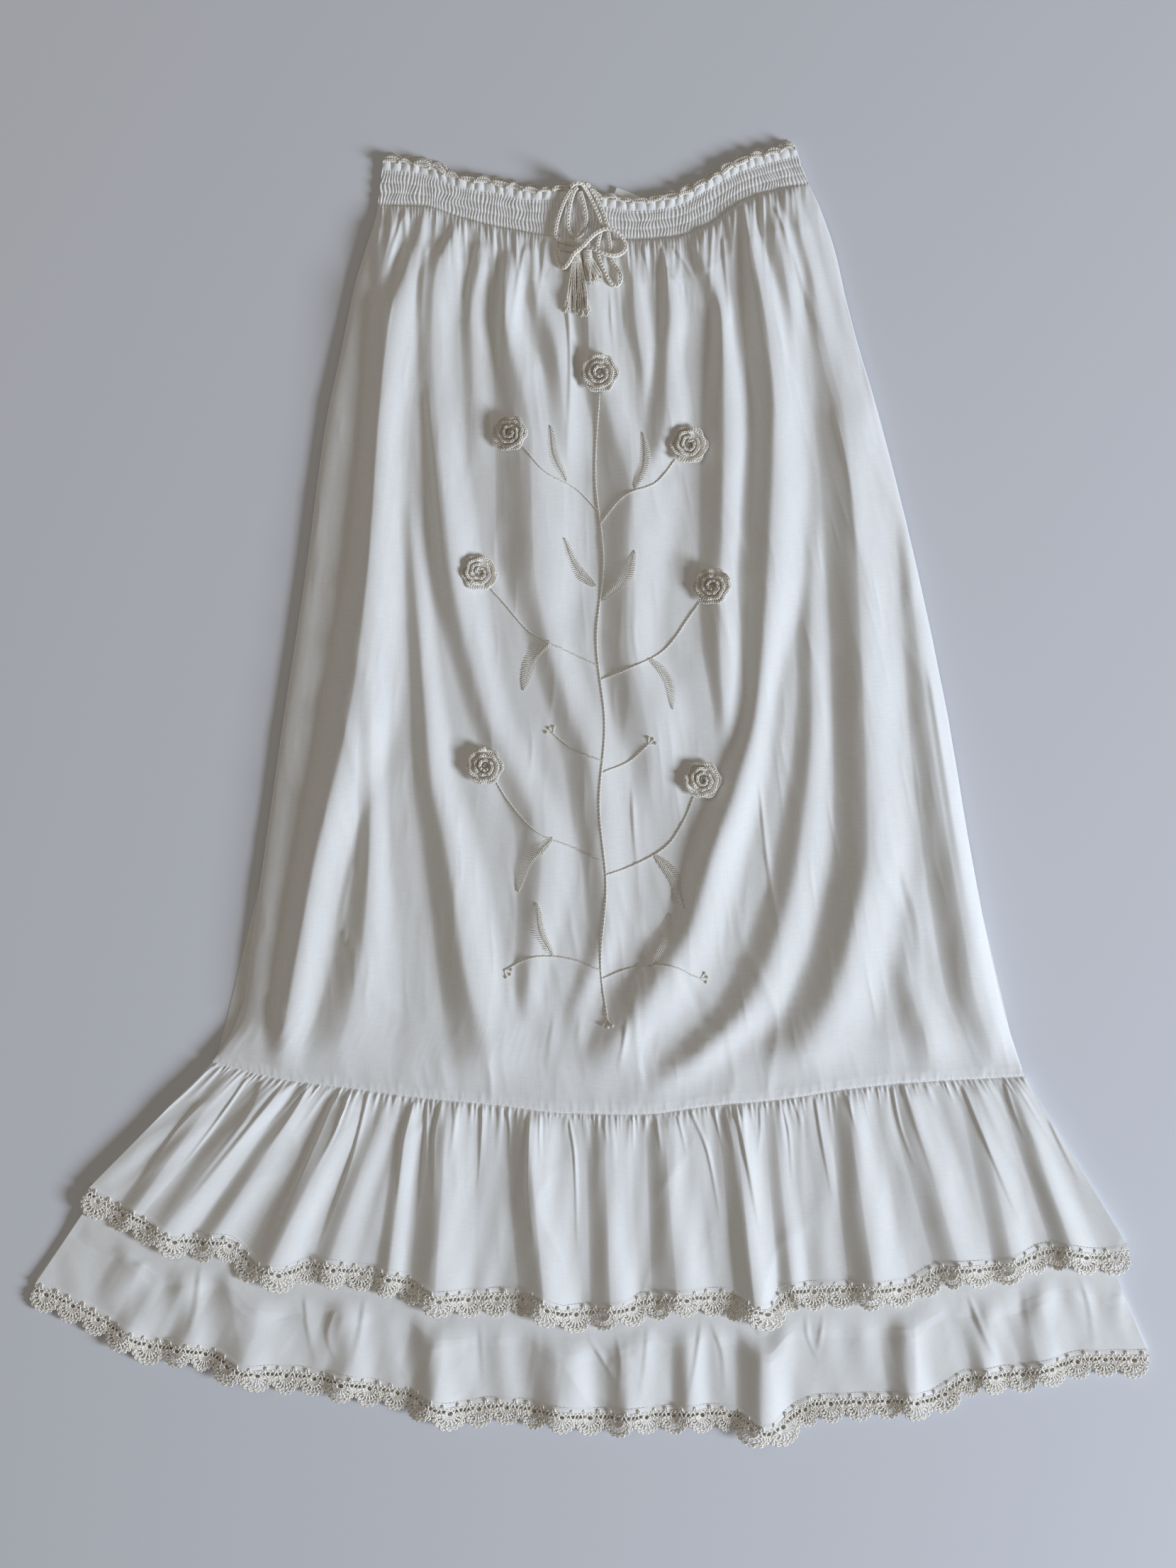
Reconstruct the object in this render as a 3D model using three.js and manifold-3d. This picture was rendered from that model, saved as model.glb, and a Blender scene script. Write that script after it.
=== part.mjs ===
// Prairie skirt laid flat on its back, waist towards +Y, front upwards (+Z), millimetres.
// Every cloth piece is a thin closed wall; the layers lie on each other from the surface up.
// The tables hold places on the laid-out skirt, measured from a point near its middle.
import * as THREE from "three";
import { mergeVertices } from "three/addons/utils/BufferGeometryUtils.js";
import Module from "manifold-3d";

const wasm = await Module();
wasm.setup();

// Driving sizes
const clothThick = 1.4;
const seamGap = 0.3;
const laceThick = 1.6;
const laceDepth = 17;
const laceNotch = 11.5;
const frillHeight = 7.5;
const edgingDepth = 4.6;
const edgingNotch = 2.6;
const cordDiameter = 3.3;
const roseHeight = 6;
const strandDiameter = 1.1;

// Heights of the undersides, from the surface up
const layer = clothThick + seamGap;
const backLow = 0;
const backUnderLow = layer;
const frontLow = layer;
const underLow = 2 * layer;
const overLow = 3 * layer;

// Counts
const bandPleats = 84;
const frillWaves = 32;
const frontArches = 32;
const backArches = 32;
const overColumns = 108;
const underColumns = 57;
const columnsPerScallop = 3;
const backOverScallops = 36;
const backUnderScallops = 38;
const bandPleatDepth = 1.1;
const frillWaveDepth = 2.2;
const gatherDepth = 2.2;

// A table of rows read as a smooth line: the first column is the key, the others are values
function smooth(rows) {
  const sorted = rows.slice().sort((a, b) => a[0] - b[0]);
  const last = sorted.length - 1;
  const slope = (i, c) => (sorted[i + 1][c] - sorted[i][c]) / (sorted[i + 1][0] - sorted[i][0]);
  const tangent = (i, c) => {
    if (i === 0) return slope(0, c);
    if (i === last) return slope(last - 1, c);
    const before = slope(i - 1, c);
    const after = slope(i, c);
    return before * after <= 0 ? 0 : (2 * before * after) / (before + after);
  };
  return (key, c = 1) => {
    if (key <= sorted[0][0]) return sorted[0][c];
    if (key >= sorted[last][0]) return sorted[last][c];
    let i = 0;
    while (key > sorted[i + 1][0]) i += 1;
    const width = sorted[i + 1][0] - sorted[i][0];
    const t = (key - sorted[i][0]) / width;
    const a = sorted[i][c];
    const b = sorted[i + 1][c];
    const ta = tangent(i, c) * width;
    const tb = tangent(i + 1, c) * width;
    return a + ta * t + (3 * (b - a) - 2 * ta - tb) * t * t + (2 * (a - b) + ta + tb) * t * t * t;
  };
}

const lerp = THREE.MathUtils.lerp;
const clamp = THREE.MathUtils.clamp;
const bump = (distance, half) =>
  Math.abs(distance) < half ? 0.5 + 0.5 * Math.cos((Math.PI * distance) / half) : 0;

// Outline of the body, columns: y, x
const bodyLeft = smooth([
  [434, -160], [428, -161], [402, -169], [376, -177], [323, -188], [271, -199], [166, -213],
  [61, -229], [-44, -244], [-123, -255], [-165, -261], [-188, -274], [-200, -282],
]);
const bodyRight = smooth([
  [450, 159], [428, 169], [402, 178], [350, 190], [271, 213], [166, 239],
  [61, 261], [-44, 279], [-149, 300], [-211, 318],
]);
const bandLeft = smooth([[434, -160], [467, -156]]);
const bandRight = smooth([[450, 159], [477, 149]]);

// Lines across the skirt, columns: x, y
const bandBottom = smooth([
  [-160, 434], [-125, 433], [-99, 425], [-72, 418], [-20, 410], [33, 408],
  [59, 410], [85, 419], [111, 437], [138, 446], [159, 450],
]);
const frillTop = smooth([
  [-156, 467], [-125, 463], [-99, 453], [-72, 449], [-46, 444], [-10, 445],
  [8, 439], [33, 436], [59, 439], [85, 452], [111, 466], [149, 477],
]);
const seamLine = smooth([
  [-281, -200], [-256, -207], [-230, -213], [-177, -220], [-125, -227], [-72, -232], [-20, -238],
  [33, -239], [85, -233], [138, -228], [190, -220], [243, -215], [318, -211],
]);
const overHem = smooth([
  [-373, -293], [-361, -301], [-335, -313], [-309, -328], [-272, -330], [-246, -349], [-230, -352],
  [-209, -347], [-177, -351], [-135, -360], [-114, -371], [-51, -370], [-20, -382], [22, -379],
  [40, -373], [96, -370], [127, -381], [146, -366], [232, -363], [258, -350], [295, -349],
  [342, -336], [374, -341], [395, -338],
]);
const underHem = smooth([
  [-414, -365], [-387, -376], [-361, -390], [-335, -405], [-282, -414], [-256, -427], [-230, -428],
  [-177, -436], [-135, -444], [-107, -455], [-72, -452], [6, -460], [85, -457], [106, -459],
  [127, -470], [146, -459], [164, -450], [248, -447], [275, -432], [321, -427], [369, -417],
  [411, -417],
]);
// How far along the hem a gather that starts along the seam ends: seam share, hem share
const gatherFan = smooth([
  [0, 0], [0.08, 0.05], [0.16, 0.163], [0.25, 0.29], [0.39, 0.42],
  [0.54, 0.55], [0.7, 0.685], [0.83, 0.8], [0.9, 0.89], [1, 1],
]);

// Folds of the front panel, each a ridge; columns: y, crest x, half width, rise
const bodyFolds = [
  [[428, -145, 8, 3], [397, -153, 10, 4], [360, -158, 9, 2]],
  [[428, -125, 8, 4], [397, -133, 14, 6], [350, -149, 24, 10], [271, -158, 20, 9],
    [166, -165, 25, 11], [61, -178, 34, 12], [-44, -203, 24, 10], [-149, -223, 22, 8],
    [-191, -230, 18, 5]],
  [[50, -163, 12, 2], [-44, -165, 14, 5], [-97, -168, 23, 7], [-149, -177, 32, 6],
    [-191, -187, 40, 3]],
  [[418, -100, 7, 4], [376, -117, 18, 6], [323, -119, 15, 3], [271, -115, 17, 4],
    [166, -105, 23, 8], [61, -81, 19, 5], [-44, -39, 25, 5], [-149, -49, 13, 3]],
  [[192, -135, 11, 2], [113, -128, 12, 4], [8, -119, 19, 7], [-44, -108, 24, 8],
    [-149, -91, 30, 9], [-191, -81, 38, 6]],
  [[423, -89, 6, 3], [397, -83, 8, 4], [350, -90, 12, 3], [260, -87, 11, 1]],
  [[418, -77, 6, 3], [397, -61, 14, 5], [350, -65, 12, 7], [271, -48, 35, 8],
    [166, -44, 37, 9], [113, -35, 20, 5], [8, -1, 27, 6], [-97, 8, 18, 4], [-160, -14, 13, 2]],
  [[407, -50, 8, 2], [376, -46, 10, 3], [323, -28, 17, 6], [260, -20, 16, 3]],
  [[407, -4, 10, 3], [376, -4, 17, 5], [323, 2, 18, 4], [271, 13, 19, 5], [218, 26, 36, 8],
    [113, 24, 26, 6], [61, 36, 33, 7], [19, 43, 21, 3]],
  [[413, 19, 6, 2], [376, 28, 8, 3], [350, 30, 13, 4], [313, 36, 8, 2]],
  [[413, 49, 6, 2], [350, 56, 13, 6], [323, 54, 12, 4], [271, 52, 20, 5], [235, 42, 16, 1]],
  [[428, 83, 6, 4], [397, 79, 13, 5], [350, 93, 11, 7], [271, 95, 22, 9], [166, 93, 22, 7],
    [113, 92, 18, 6], [58, 95, 10, 2]],
  [[434, 109, 6, 4], [397, 116, 11, 7], [323, 128, 22, 10], [271, 131, 25, 11],
    [166, 127, 29, 12], [61, 119, 14, 6], [8, 105, 22, 9], [-44, 87, 25, 11],
    [-97, 72, 27, 9], [-149, 41, 37, 9], [-191, 12, 32, 5]],
  [[439, 125, 9, 4], [397, 137, 15, 6], [350, 145, 10, 3], [313, 149, 9, 1]],
  [[176, 160, 8, 1], [113, 159, 14, 3], [61, 160, 15, 4], [-44, 150, 23, 6],
    [-149, 117, 29, 8], [-191, 79, 28, 7], [-217, 48, 28, 3]],
  [[439, 143, 10, 4], [397, 156, 10, 3], [323, 172, 16, 3], [271, 184, 30, 7],
    [113, 195, 30, 9], [-44, 200, 33, 10], [-97, 190, 34, 11], [-149, 175, 37, 10],
    [-191, 153, 45, 7]],
  [[176, 231, 10, 2], [61, 244, 18, 4], [-97, 270, 28, 8], [-149, 279, 27, 7],
    [-191, 293, 22, 4]],
  [[-139, 229, 16, 3], [-191, 246, 24, 5], [-217, 254, 24, 4]],
].map((rows) => ({ at: smooth(rows), top: rows[0][0], end: rows[rows.length - 1][0] }));

// Large folds of the over flounce; columns: seam x, hem x, half at seam, half at hem, rise
const overFolds = [
  [-264, -340, 12, 16, 4], [-233, -318, 16, 22, 6], [-209, -282, 13, 20, 4],
  [-177, -240, 18, 24, 7], [-152, -196, 12, 18, 4], [-135, -152, 10, 13, 4],
  [-108, -117, 21, 26, 8], [-50, -37, 24, 26, 9], [7, 12, 18, 20, 6], [51, 61, 18, 25, 6],
  [103, 118, 16, 20, 8], [132, 146, 10, 13, 3], [185, 206, 18, 25, 7], [229, 269, 20, 24, 6],
  [279, 308, 16, 18, 5], [308, 352, 16, 20, 6],
];

// Folds of the under flounce at its hem; columns: hem x, half width, rise
const underFolds = [
  [-345, 16, 4], [-305, 19, 4], [-261, 30, 7], [-186, 20, 5], [-119, 24, 8], [-27, 27, 7],
  [24, 20, 6], [69, 16, 4], [123, 24, 9], [233, 20, 6], [290, 14, 4], [330, 18, 5],
];

// A closed wall between an upper and a lower grid of points, left to right and top to bottom;
// the lower grid may have one column for every few columns of the upper one
function wall(columns, rows, upper, lower, skip = 1) {
  const lowColumns = columns / skip;
  const positions = [];
  for (let j = 0; j <= rows; j += 1) {
    for (let i = 0; i <= columns; i += 1) positions.push(...upper(i / columns, j / rows, i, j));
  }
  const lowStart = positions.length / 3;
  for (let j = 0; j <= rows; j += 1) {
    for (let i = 0; i <= lowColumns; i += 1) {
      positions.push(...lower(i / lowColumns, j / rows, i * skip, j));
    }
  }
  const up = (i, j) => j * (columns + 1) + i;
  const low = (i, j) => lowStart + j * (lowColumns + 1) + i;
  const faces = [];
  const quad = (a, b, c, d) => faces.push(a, b, c, a, c, d);
  for (let j = 0; j < rows; j += 1) {
    for (let i = 0; i < columns; i += 1) quad(up(i, j), up(i, j + 1), up(i + 1, j + 1), up(i + 1, j));
    for (let i = 0; i < lowColumns; i += 1) {
      quad(low(i, j), low(i + 1, j), low(i + 1, j + 1), low(i, j + 1));
    }
    quad(up(0, j), low(0, j), low(0, j + 1), up(0, j + 1));
    const endLow = lowColumns;
    quad(up(columns, j), up(columns, j + 1), low(endLow, j + 1), low(endLow, j));
  }
  for (let s = 0; s < lowColumns; s += 1) {
    for (let i = s * skip; i < (s + 1) * skip; i += 1) {
      faces.push(up(i, 0), up(i + 1, 0), low(s, 0));
      faces.push(up(i + 1, rows), up(i, rows), low(s, rows));
    }
    faces.push(up((s + 1) * skip, 0), low(s + 1, 0), low(s, 0));
    faces.push(low(s + 1, rows), up((s + 1) * skip, rows), low(s, rows));
  }
  const geometry = new THREE.BufferGeometry();
  geometry.setAttribute("position", new THREE.Float32BufferAttribute(positions, 3));
  geometry.setIndex(faces);
  geometry.computeVertexNormals();
  return geometry;
}

// The same wall when its lower face is its upper face moved down by one thickness
function sheet(columns, rows, surface, thick = clothThick) {
  const upper = (u, v, i, j) => {
    const [x, y, z] = surface(u, v, i, j);
    return [x, y, z + thick];
  };
  return wall(columns, rows, upper, surface);
}

const materials = {
  cotton: new THREE.MeshStandardMaterial({ color: 0xe9e5dc, roughness: 0.8, metalness: 0 }),
  crochet: new THREE.MeshStandardMaterial({ color: 0xd0c8b8, roughness: 0.9, metalness: 0 }),
  cord: new THREE.MeshStandardMaterial({ color: 0xd8cfbf, roughness: 0.85, metalness: 0 }),
  label: new THREE.MeshStandardMaterial({ color: 0xf2f2f0, roughness: 0.6, metalness: 0 }),
};

// Brings the middle of the outline over the origin
const outlineShift = [3.75, 1.77, 0];
const skirt = new THREE.Group();
skirt.position.set(...outlineShift);
function add(name, geometry, material) {
  const mesh = new THREE.Mesh(geometry, material);
  mesh.name = name;
  skirt.add(mesh);
  return mesh;
}

// Height of the underside of the front half of the waist, fuller in the middle
const waistLoft = 1.7;
const waistHalf = 160;
const waistLow = (x) => frontLow + waistLoft * Math.sqrt(clamp(1 - (x / waistHalf) ** 2, 0, 1));

// Body panels
const panelColumns = 52;
const panelRows = 13;
const panelRowEase = 1.15;
const panelLoft = 4;
const panelLoftReach = 60;
const sideRound = 12;
const sideRise = 4;
const seamBlend = 34;
const foldFade = 26;

function bodyPoint(u, v, inset) {
  let x = 0;
  let y = 0;
  for (let step = 0; step < 6; step += 1) {
    y = lerp(bandBottom(x) - seamGap / 2, seamLine(x) + seamGap / 2, v);
    x = lerp(bodyLeft(y) + inset, bodyRight(y) - inset, u);
  }
  return [x, y];
}

function bodyFoldHeight(x, y) {
  let height = 0;
  for (const fold of bodyFolds) {
    const fade = clamp((fold.top + foldFade - y) / foldFade, 0, 1)
      * clamp((y - fold.end + foldFade) / foldFade, 0, 1);
    height += fade * fold.at(y, 3) * bump(x - fold.at(y, 1), fold.at(y, 2));
  }
  return height;
}

// Underside of the front panel: low at the sides, round there, with the folds on top
function panelLow(x, y) {
  const side = Math.min(x - bodyLeft(y), bodyRight(y) - x);
  const round = Math.sqrt(clamp(1 - (1 - clamp(side / sideRound, 0, 1)) ** 2, 0, 1));
  const loft = panelLoft * clamp(side / panelLoftReach, 0, 1);
  const full = frontLow + sideRise * round + (loft + bodyFoldHeight(x, y)) * round;
  const atSeam = clamp((y - seamLine(x)) / seamBlend, 0, 1);
  const atBand = clamp((bandBottom(x) - y) / seamBlend, 0, 1);
  const free = lerp(waistLow(x), full, Math.sqrt(atBand));
  return lerp(overLow, free, Math.sqrt(atSeam));
}

const panelSurface = (u, v) => {
  const [x, y] = bodyPoint(u, v ** panelRowEase, 0);
  return [x, y, panelLow(x, y)];
};
add("front_panel", sheet(panelColumns, panelRows, panelSurface), materials.cotton);

const backInset = 1.5;
const backColumns = 32;
const backPanelRows = 6;
const backPanelSurface = (u, v) => [...bodyPoint(u, v, backInset), backLow];
add("back_panel", sheet(backColumns, backPanelRows, backPanelSurface), materials.cotton);

// Waistband: fine pleats raised on its upper face over a plain inside
const bandTop = (x) => frillTop(x) - frillHeight;
const bandWander = 0.35;
function bandPoint(u, v, bottom, top, inset = 0) {
  let x = 0;
  let y = 0;
  for (let step = 0; step < 6; step += 1) {
    y = lerp(top(x), bottom(x), v);
    x = lerp(bandLeft(y) + inset, bandRight(y) - inset, u);
  }
  return [x, y];
}
const bandFoot = (x) => bandBottom(x) + seamGap / 2;
const bandHead = (x) => bandTop(x) - seamGap / 2;
const bandUpper = (u, v, i, j) => {
  const [x, y] = bandPoint(u, v, bandFoot, bandHead);
  const raised = i % 2 === 1 ? bandPleatDepth : 0;
  const wander = j === 1 && i > 0 && i < 2 * bandPleats ? bandWander : 0;
  return [x + wander, y, waistLow(x) + clothThick + raised];
};
const bandLower = (u, v) => {
  const [x, y] = bandPoint(u, v, bandFoot, bandHead);
  return [x, y, waistLow(x)];
};
const bandRows = 2;
const bandSkip = 4;
add("front_waistband", wall(2 * bandPleats, bandRows, bandUpper, bandLower, bandSkip), materials.cotton);

const backBandSurface = (u, v) => [...bandPoint(u, v, bandFoot, bandHead, backInset), backLow];
add("back_waistband", sheet(backColumns, 1, backBandSurface), materials.cotton);

// Frilled heading above the band: it stands in small waves, front and back
const backRise = 2;
function frillPoint(u, v, lift, inset = 0) {
  return bandPoint(u, v, (s) => bandTop(s) + seamGap / 2, (s) => frillTop(s) + lift, inset);
}
const frillSurface = (u, v, i) => {
  const [x, y] = frillPoint(u, v, 0);
  const wave = i % 2 === 1 ? frillWaveDepth * (1 - v) : 0;
  return [x, y, waistLow(x) + wave];
};
add("front_waist_frill", sheet(2 * frillWaves, 1, frillSurface), materials.cotton);
const backFrillSurface = (u, v) => [...frillPoint(u, v, backRise, backInset), backLow];
add("back_waist_frill", sheet(backColumns, 1, backFrillSurface), materials.cotton);

// Flounces hang between the seam and their hems
const seamStart = -281;
const seamEnd = 318;
const overStart = -373;
const overEnd = 395;
const underStart = -414;
const underEnd = 411;
const seamPoint = (u) => {
  const x = lerp(seamStart, seamEnd, u);
  return [x, seamLine(x) - seamGap / 2];
};
const overHemPoint = (u, lift) => {
  const x = lerp(overStart, overEnd, gatherFan(u));
  return [x, overHem(x) + lift];
};
const underHemPoint = (u, lift) => {
  const x = lerp(underStart, underEnd, u);
  return [x, underHem(x) + lift];
};

// Over flounce: gathers at the seam that die out, and large folds that reach the hem
const overRows = [0, 0.26, 0.6, 1];
const gatherFade = 0.75;
const gatherUneven = 0.25;
const seamFoldShare = 0.25;
function overFlounceLow(u, v, x, i) {
  let height = 0;
  for (const [seamX, hemX, seamHalf, hemHalf, rise] of overFolds) {
    const strength = rise * lerp(seamFoldShare, 1, Math.sqrt(v));
    height += strength * bump(x - lerp(seamX, hemX, v), lerp(seamHalf, hemHalf, v));
  }
  const uneven = 1 - gatherUneven + gatherUneven * Math.sin(i * 1.7) * Math.cos(i * 0.6);
  const gather = i % 2 === 1 ? gatherDepth * uneven * clamp(1 - v / gatherFade, 0, 1) : 0;
  return overLow + height + gather;
}
function overSurface(u, v, i, j) {
  const share = overRows[j];
  const [topX, topY] = seamPoint(u);
  const [hemX, hemY] = overHemPoint(u, 0);
  const x = lerp(topX, hemX, share);
  const y = lerp(topY, hemY, share);
  return [x, y, overFlounceLow(u, share, x, i)];
}
add("front_over_flounce", sheet(overColumns, overRows.length - 1, overSurface), materials.cotton);

// Under flounce: flat beneath the over flounce and its lace, folded where it shows
const shelfShare = 0.74;
const laceClear = 4;
const backFall = 12;
const frontFall = 8;
function underLine(u, lift) {
  const top = seamPoint(u);
  const hem = underHemPoint(u, lift);
  const shelfX = lerp(top[0], hem[0], shelfShare);
  const shelfY = overHem(clamp(shelfX, overStart, overEnd)) - laceDepth - laceClear;
  const run = Math.hypot(hem[0] - shelfX, hem[1] - shelfY);
  const towardHem = (distance) => [
    lerp(shelfX, hem[0], distance / run),
    lerp(shelfY, hem[1], distance / run),
  ];
  return { top, shelf: [shelfX, shelfY], fall: towardHem(backFall),
    settle: towardHem(backFall + frontFall), hem };
}
function underFoldHeight(x) {
  let height = 0;
  for (const [hemX, half, rise] of underFolds) height += rise * bump(x - hemX, half);
  return height;
}
const settleShare = 0.5;
function underSurface(u, v, i, j) {
  const line = underLine(u, 0);
  const row = ["top", "shelf", "fall", "settle", "hem"][j];
  const [x, y] = line[row];
  const folds = underFoldHeight(x);
  const low = { top: underLow, shelf: underLow, fall: underLow,
    settle: frontLow + settleShare * folds, hem: frontLow + folds }[row];
  return [x, y, low];
}
add("front_under_flounce", sheet(underColumns, 4, underSurface), materials.cotton);

// The back flounces lie flat; the under one steps down to the surface past the over one
const backHemLift = 3;
const backOverSurface = (u, v) => {
  const top = seamPoint(u);
  const hem = overHemPoint(u, backHemLift);
  return [lerp(top[0], hem[0], v), lerp(top[1], hem[1], v), backLow];
};
add("back_over_flounce", sheet(backOverScallops, 1, backOverSurface), materials.cotton);
function backUnderSurface(u, v, i, j) {
  const line = underLine(u, backHemLift);
  const row = ["top", "shelf", "fall", "hem"][j];
  const low = { top: backUnderLow, shelf: backUnderLow, fall: backLow, hem: backLow }[row];
  return [...line[row], low];
}
add("back_under_flounce", sheet(backUnderScallops, 3, backUnderSurface), materials.cotton);

// Crochet strips: one edge follows a host piece's own edge points, the other is scalloped.
// side is 1 for a strip above its host and -1 for one below
function strip(host, columns, side, depthAt, lowAt) {
  const onHost = (t) => {
    const place = clamp(t, 0, 1) * host.columns;
    const i = Math.min(Math.floor(place), host.columns - 1);
    const a = host.at(i / host.columns, i);
    const b = host.at((i + 1) / host.columns, i + 1);
    return a.map((value, c) => lerp(value, b[c], place - i));
  };
  const surface = (u, v, i) => {
    const before = onHost(u - host.look);
    const after = onHost(u + host.look);
    const length = Math.hypot(after[0] - before[0], after[1] - before[1]);
    const outX = (-side * (after[1] - before[1])) / length;
    const outY = (side * (after[0] - before[0])) / length;
    const outward = side > 0 ? 1 - v : v;
    const reach = seamGap + depthAt(i) * outward;
    const [x, y, low] = onHost(u);
    return [x + outX * reach, y + outY * reach, lowAt(low, outward, x)];
  };
  return sheet(columns, 1, surface, laceThick);
}

// Hem lace, three columns to a scallop on the front and two on the back
const hemLook = 0.03;
const laceDroop = 0.35;
const scallopDepth = (perScallop) => (i) => (i % perScallop === 0 ? laceNotch : laceDepth);
const lastOverRow = overRows.length - 1;
add("front_over_lace",
  strip({ columns: overColumns, look: hemLook, at: (u, i) => overSurface(u, 1, i, lastOverRow) },
    overColumns, -1, scallopDepth(columnsPerScallop),
    (low, outward) => lerp(low, overLow, laceDroop * outward)),
  materials.crochet);
add("front_under_lace",
  strip({ columns: underColumns, look: hemLook, at: (u, i) => underSurface(u, 1, i, 4) },
    2 * underColumns, -1, scallopDepth(columnsPerScallop),
    (low, outward) => lerp(low, laceThick + seamGap, laceDroop * outward)),
  materials.crochet);
add("back_over_lace",
  strip({ columns: backOverScallops, look: hemLook, at: (u) => backOverSurface(u, 1) },
    2 * backOverScallops, -1, scallopDepth(2), () => backLow),
  materials.crochet);
add("back_under_lace",
  strip({ columns: backUnderScallops, look: hemLook, at: (u, i) => backUnderSurface(u, 1, i, 3) },
    2 * backUnderScallops, -1, scallopDepth(2), () => backLow),
  materials.crochet);

// Edging: small arches along the top of the heading
const edgingLook = 0.05;
const edgingLift = 0.8;
const archDepth = (i) => (i % 2 === 0 ? edgingNotch : edgingDepth);
add("front_waist_edging",
  strip({ columns: 2 * frillWaves, look: edgingLook, at: (u, i) => frillSurface(u, 0, i) },
    2 * frontArches, 1, archDepth, (low, outward, x) => waistLow(x) + edgingLift),
  materials.crochet);
add("back_waist_edging",
  strip({ columns: backColumns, look: edgingLook, at: (u) => backFrillSurface(u, 0) },
    2 * backArches, 1, archDepth, () => backLow),
  materials.crochet);

// Height of the highest cloth above a point, read from the pieces' own faces
const clothMeshes = ["front_panel", "front_waistband", "front_waist_frill", "front_waist_edging"]
  .map((name) => skirt.getObjectByName(name));
function topAt(x, y) {
  let top = 0;
  for (const mesh of clothMeshes) {
    const place = mesh.geometry.getAttribute("position");
    const index = mesh.geometry.getIndex();
    for (let k = 0; k < index.count; k += 3) {
      const [a, b, c] = [0, 1, 2].map((n) => index.getX(k + n));
      const ax = place.getX(a) - x;
      const ay = place.getY(a) - y;
      const bx = place.getX(b) - x;
      const by = place.getY(b) - y;
      const cx = place.getX(c) - x;
      const cy = place.getY(c) - y;
      const area = (bx - ax) * (cy - ay) - (cx - ax) * (by - ay);
      if (area <= 0) continue;
      const wa = (bx * cy - cx * by) / area;
      const wb = (cx * ay - ax * cy) / area;
      const wc = 1 - wa - wb;
      if (wa < 0 || wb < 0 || wc < 0) continue;
      top = Math.max(top, wa * place.getZ(a) + wb * place.getZ(b) + wc * place.getZ(c));
    }
  }
  return top;
}

// Crocheted roses: a scalloped edge, a ring of petals and a rolled heart; columns: x, y, radius
const roses = [
  [4, 306, 13.5], [-62, 262, 12.5], [70, 254, 13], [-84, 160, 12.5], [86, 150, 13],
  [-80, 18, 13], [80, 8, 13],
];
const rosePetals = 6;
// Rings from the edge inwards; columns: share of the radius, share of the height
const roseRings = [[1, 0], [1, 0.4], [0.72, 0.95], [0.46, 0.62], [0.25, 1]];
const roseHeart = 0.8;
const roseScallop = 0.07;
const roseSlopeReach = 9;
const seatRings = 8;
function rose(x, y, radius) {
  const slopeX = (topAt(x + roseSlopeReach, y) - topAt(x - roseSlopeReach, y)) / (2 * roseSlopeReach);
  const slopeY = (topAt(x, y + roseSlopeReach) - topAt(x, y - roseSlopeReach)) / (2 * roseSlopeReach);
  const sectors = 2 * rosePetals;
  let seat = 0;
  for (let ring = 0; ring <= seatRings; ring += 1) {
    for (let k = 0; k < 4 * sectors; k += 1) {
      const angle = (Math.PI * k) / (2 * sectors);
      const away = (radius * (1 + roseScallop) * ring) / seatRings;
      const dx = away * Math.cos(angle);
      const dy = away * Math.sin(angle);
      seat = Math.max(seat, topAt(x + dx, y + dy) - slopeX * dx - slopeY * dy);
    }
  }
  seat += seamGap;
  const positions = [];
  const place = (dx, dy, high) => positions.push(x + dx, y + dy, seat + slopeX * dx + slopeY * dy + high);
  for (const [share, high] of roseRings) {
    for (let k = 0; k < sectors; k += 1) {
      const angle = (2 * Math.PI * k) / sectors;
      const wave = 1 + roseScallop * (k % 2 === 0 ? 1 : -1);
      place(radius * share * wave * Math.cos(angle), radius * share * wave * Math.sin(angle),
        roseHeight * high);
    }
  }
  const under = positions.length / 3;
  place(0, 0, 0);
  place(0, 0, roseHeight * roseHeart);
  const faces = [];
  for (let k = 0; k < sectors; k += 1) {
    const next = (k + 1) % sectors;
    faces.push(under, next, k);
    for (let ring = 0; ring + 1 < roseRings.length; ring += 1) {
      const a = ring * sectors + k;
      const b = ring * sectors + next;
      faces.push(a, b, b + sectors, a, b + sectors, a + sectors);
    }
    const inner = (roseRings.length - 1) * sectors;
    faces.push(inner + k, inner + next, under + 1);
  }
  const geometry = new THREE.BufferGeometry();
  geometry.setAttribute("position", new THREE.Float32BufferAttribute(positions, 3));
  geometry.setIndex(faces);
  geometry.computeVertexNormals();
  return geometry;
}
roses.forEach(([x, y, radius], i) => add(`rose_${i + 1}`, rose(x, y, radius), materials.crochet));

// Blank label, sewn to the inside of the back heading, one corner above the edge
const labelSize = [22, 17, 0.9];
const labelPlace = [24, 435.5, 1.9];
const labelTurn = -0.38;
const label = add("label", new THREE.BoxGeometry(...labelSize), materials.label);
label.position.set(labelPlace[0], labelPlace[1], labelPlace[2] + labelSize[2] / 2);
label.rotation.z = labelTurn;

// A round tube along a route with flat ends
function tube(points, diameter, sides, steps) {
  const path = new THREE.CatmullRomCurve3(points.map((point) => new THREE.Vector3(...point)));
  const section = new THREE.Shape();
  for (let k = 0; k < sides; k += 1) {
    const angle = (2 * Math.PI * k) / sides;
    const x = (diameter / 2) * Math.cos(angle);
    const y = (diameter / 2) * Math.sin(angle);
    if (k === 0) section.moveTo(x, y);
    else section.lineTo(x, y);
  }
  return new THREE.ExtrudeGeometry(section, { steps, extrudePath: path });
}

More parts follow.
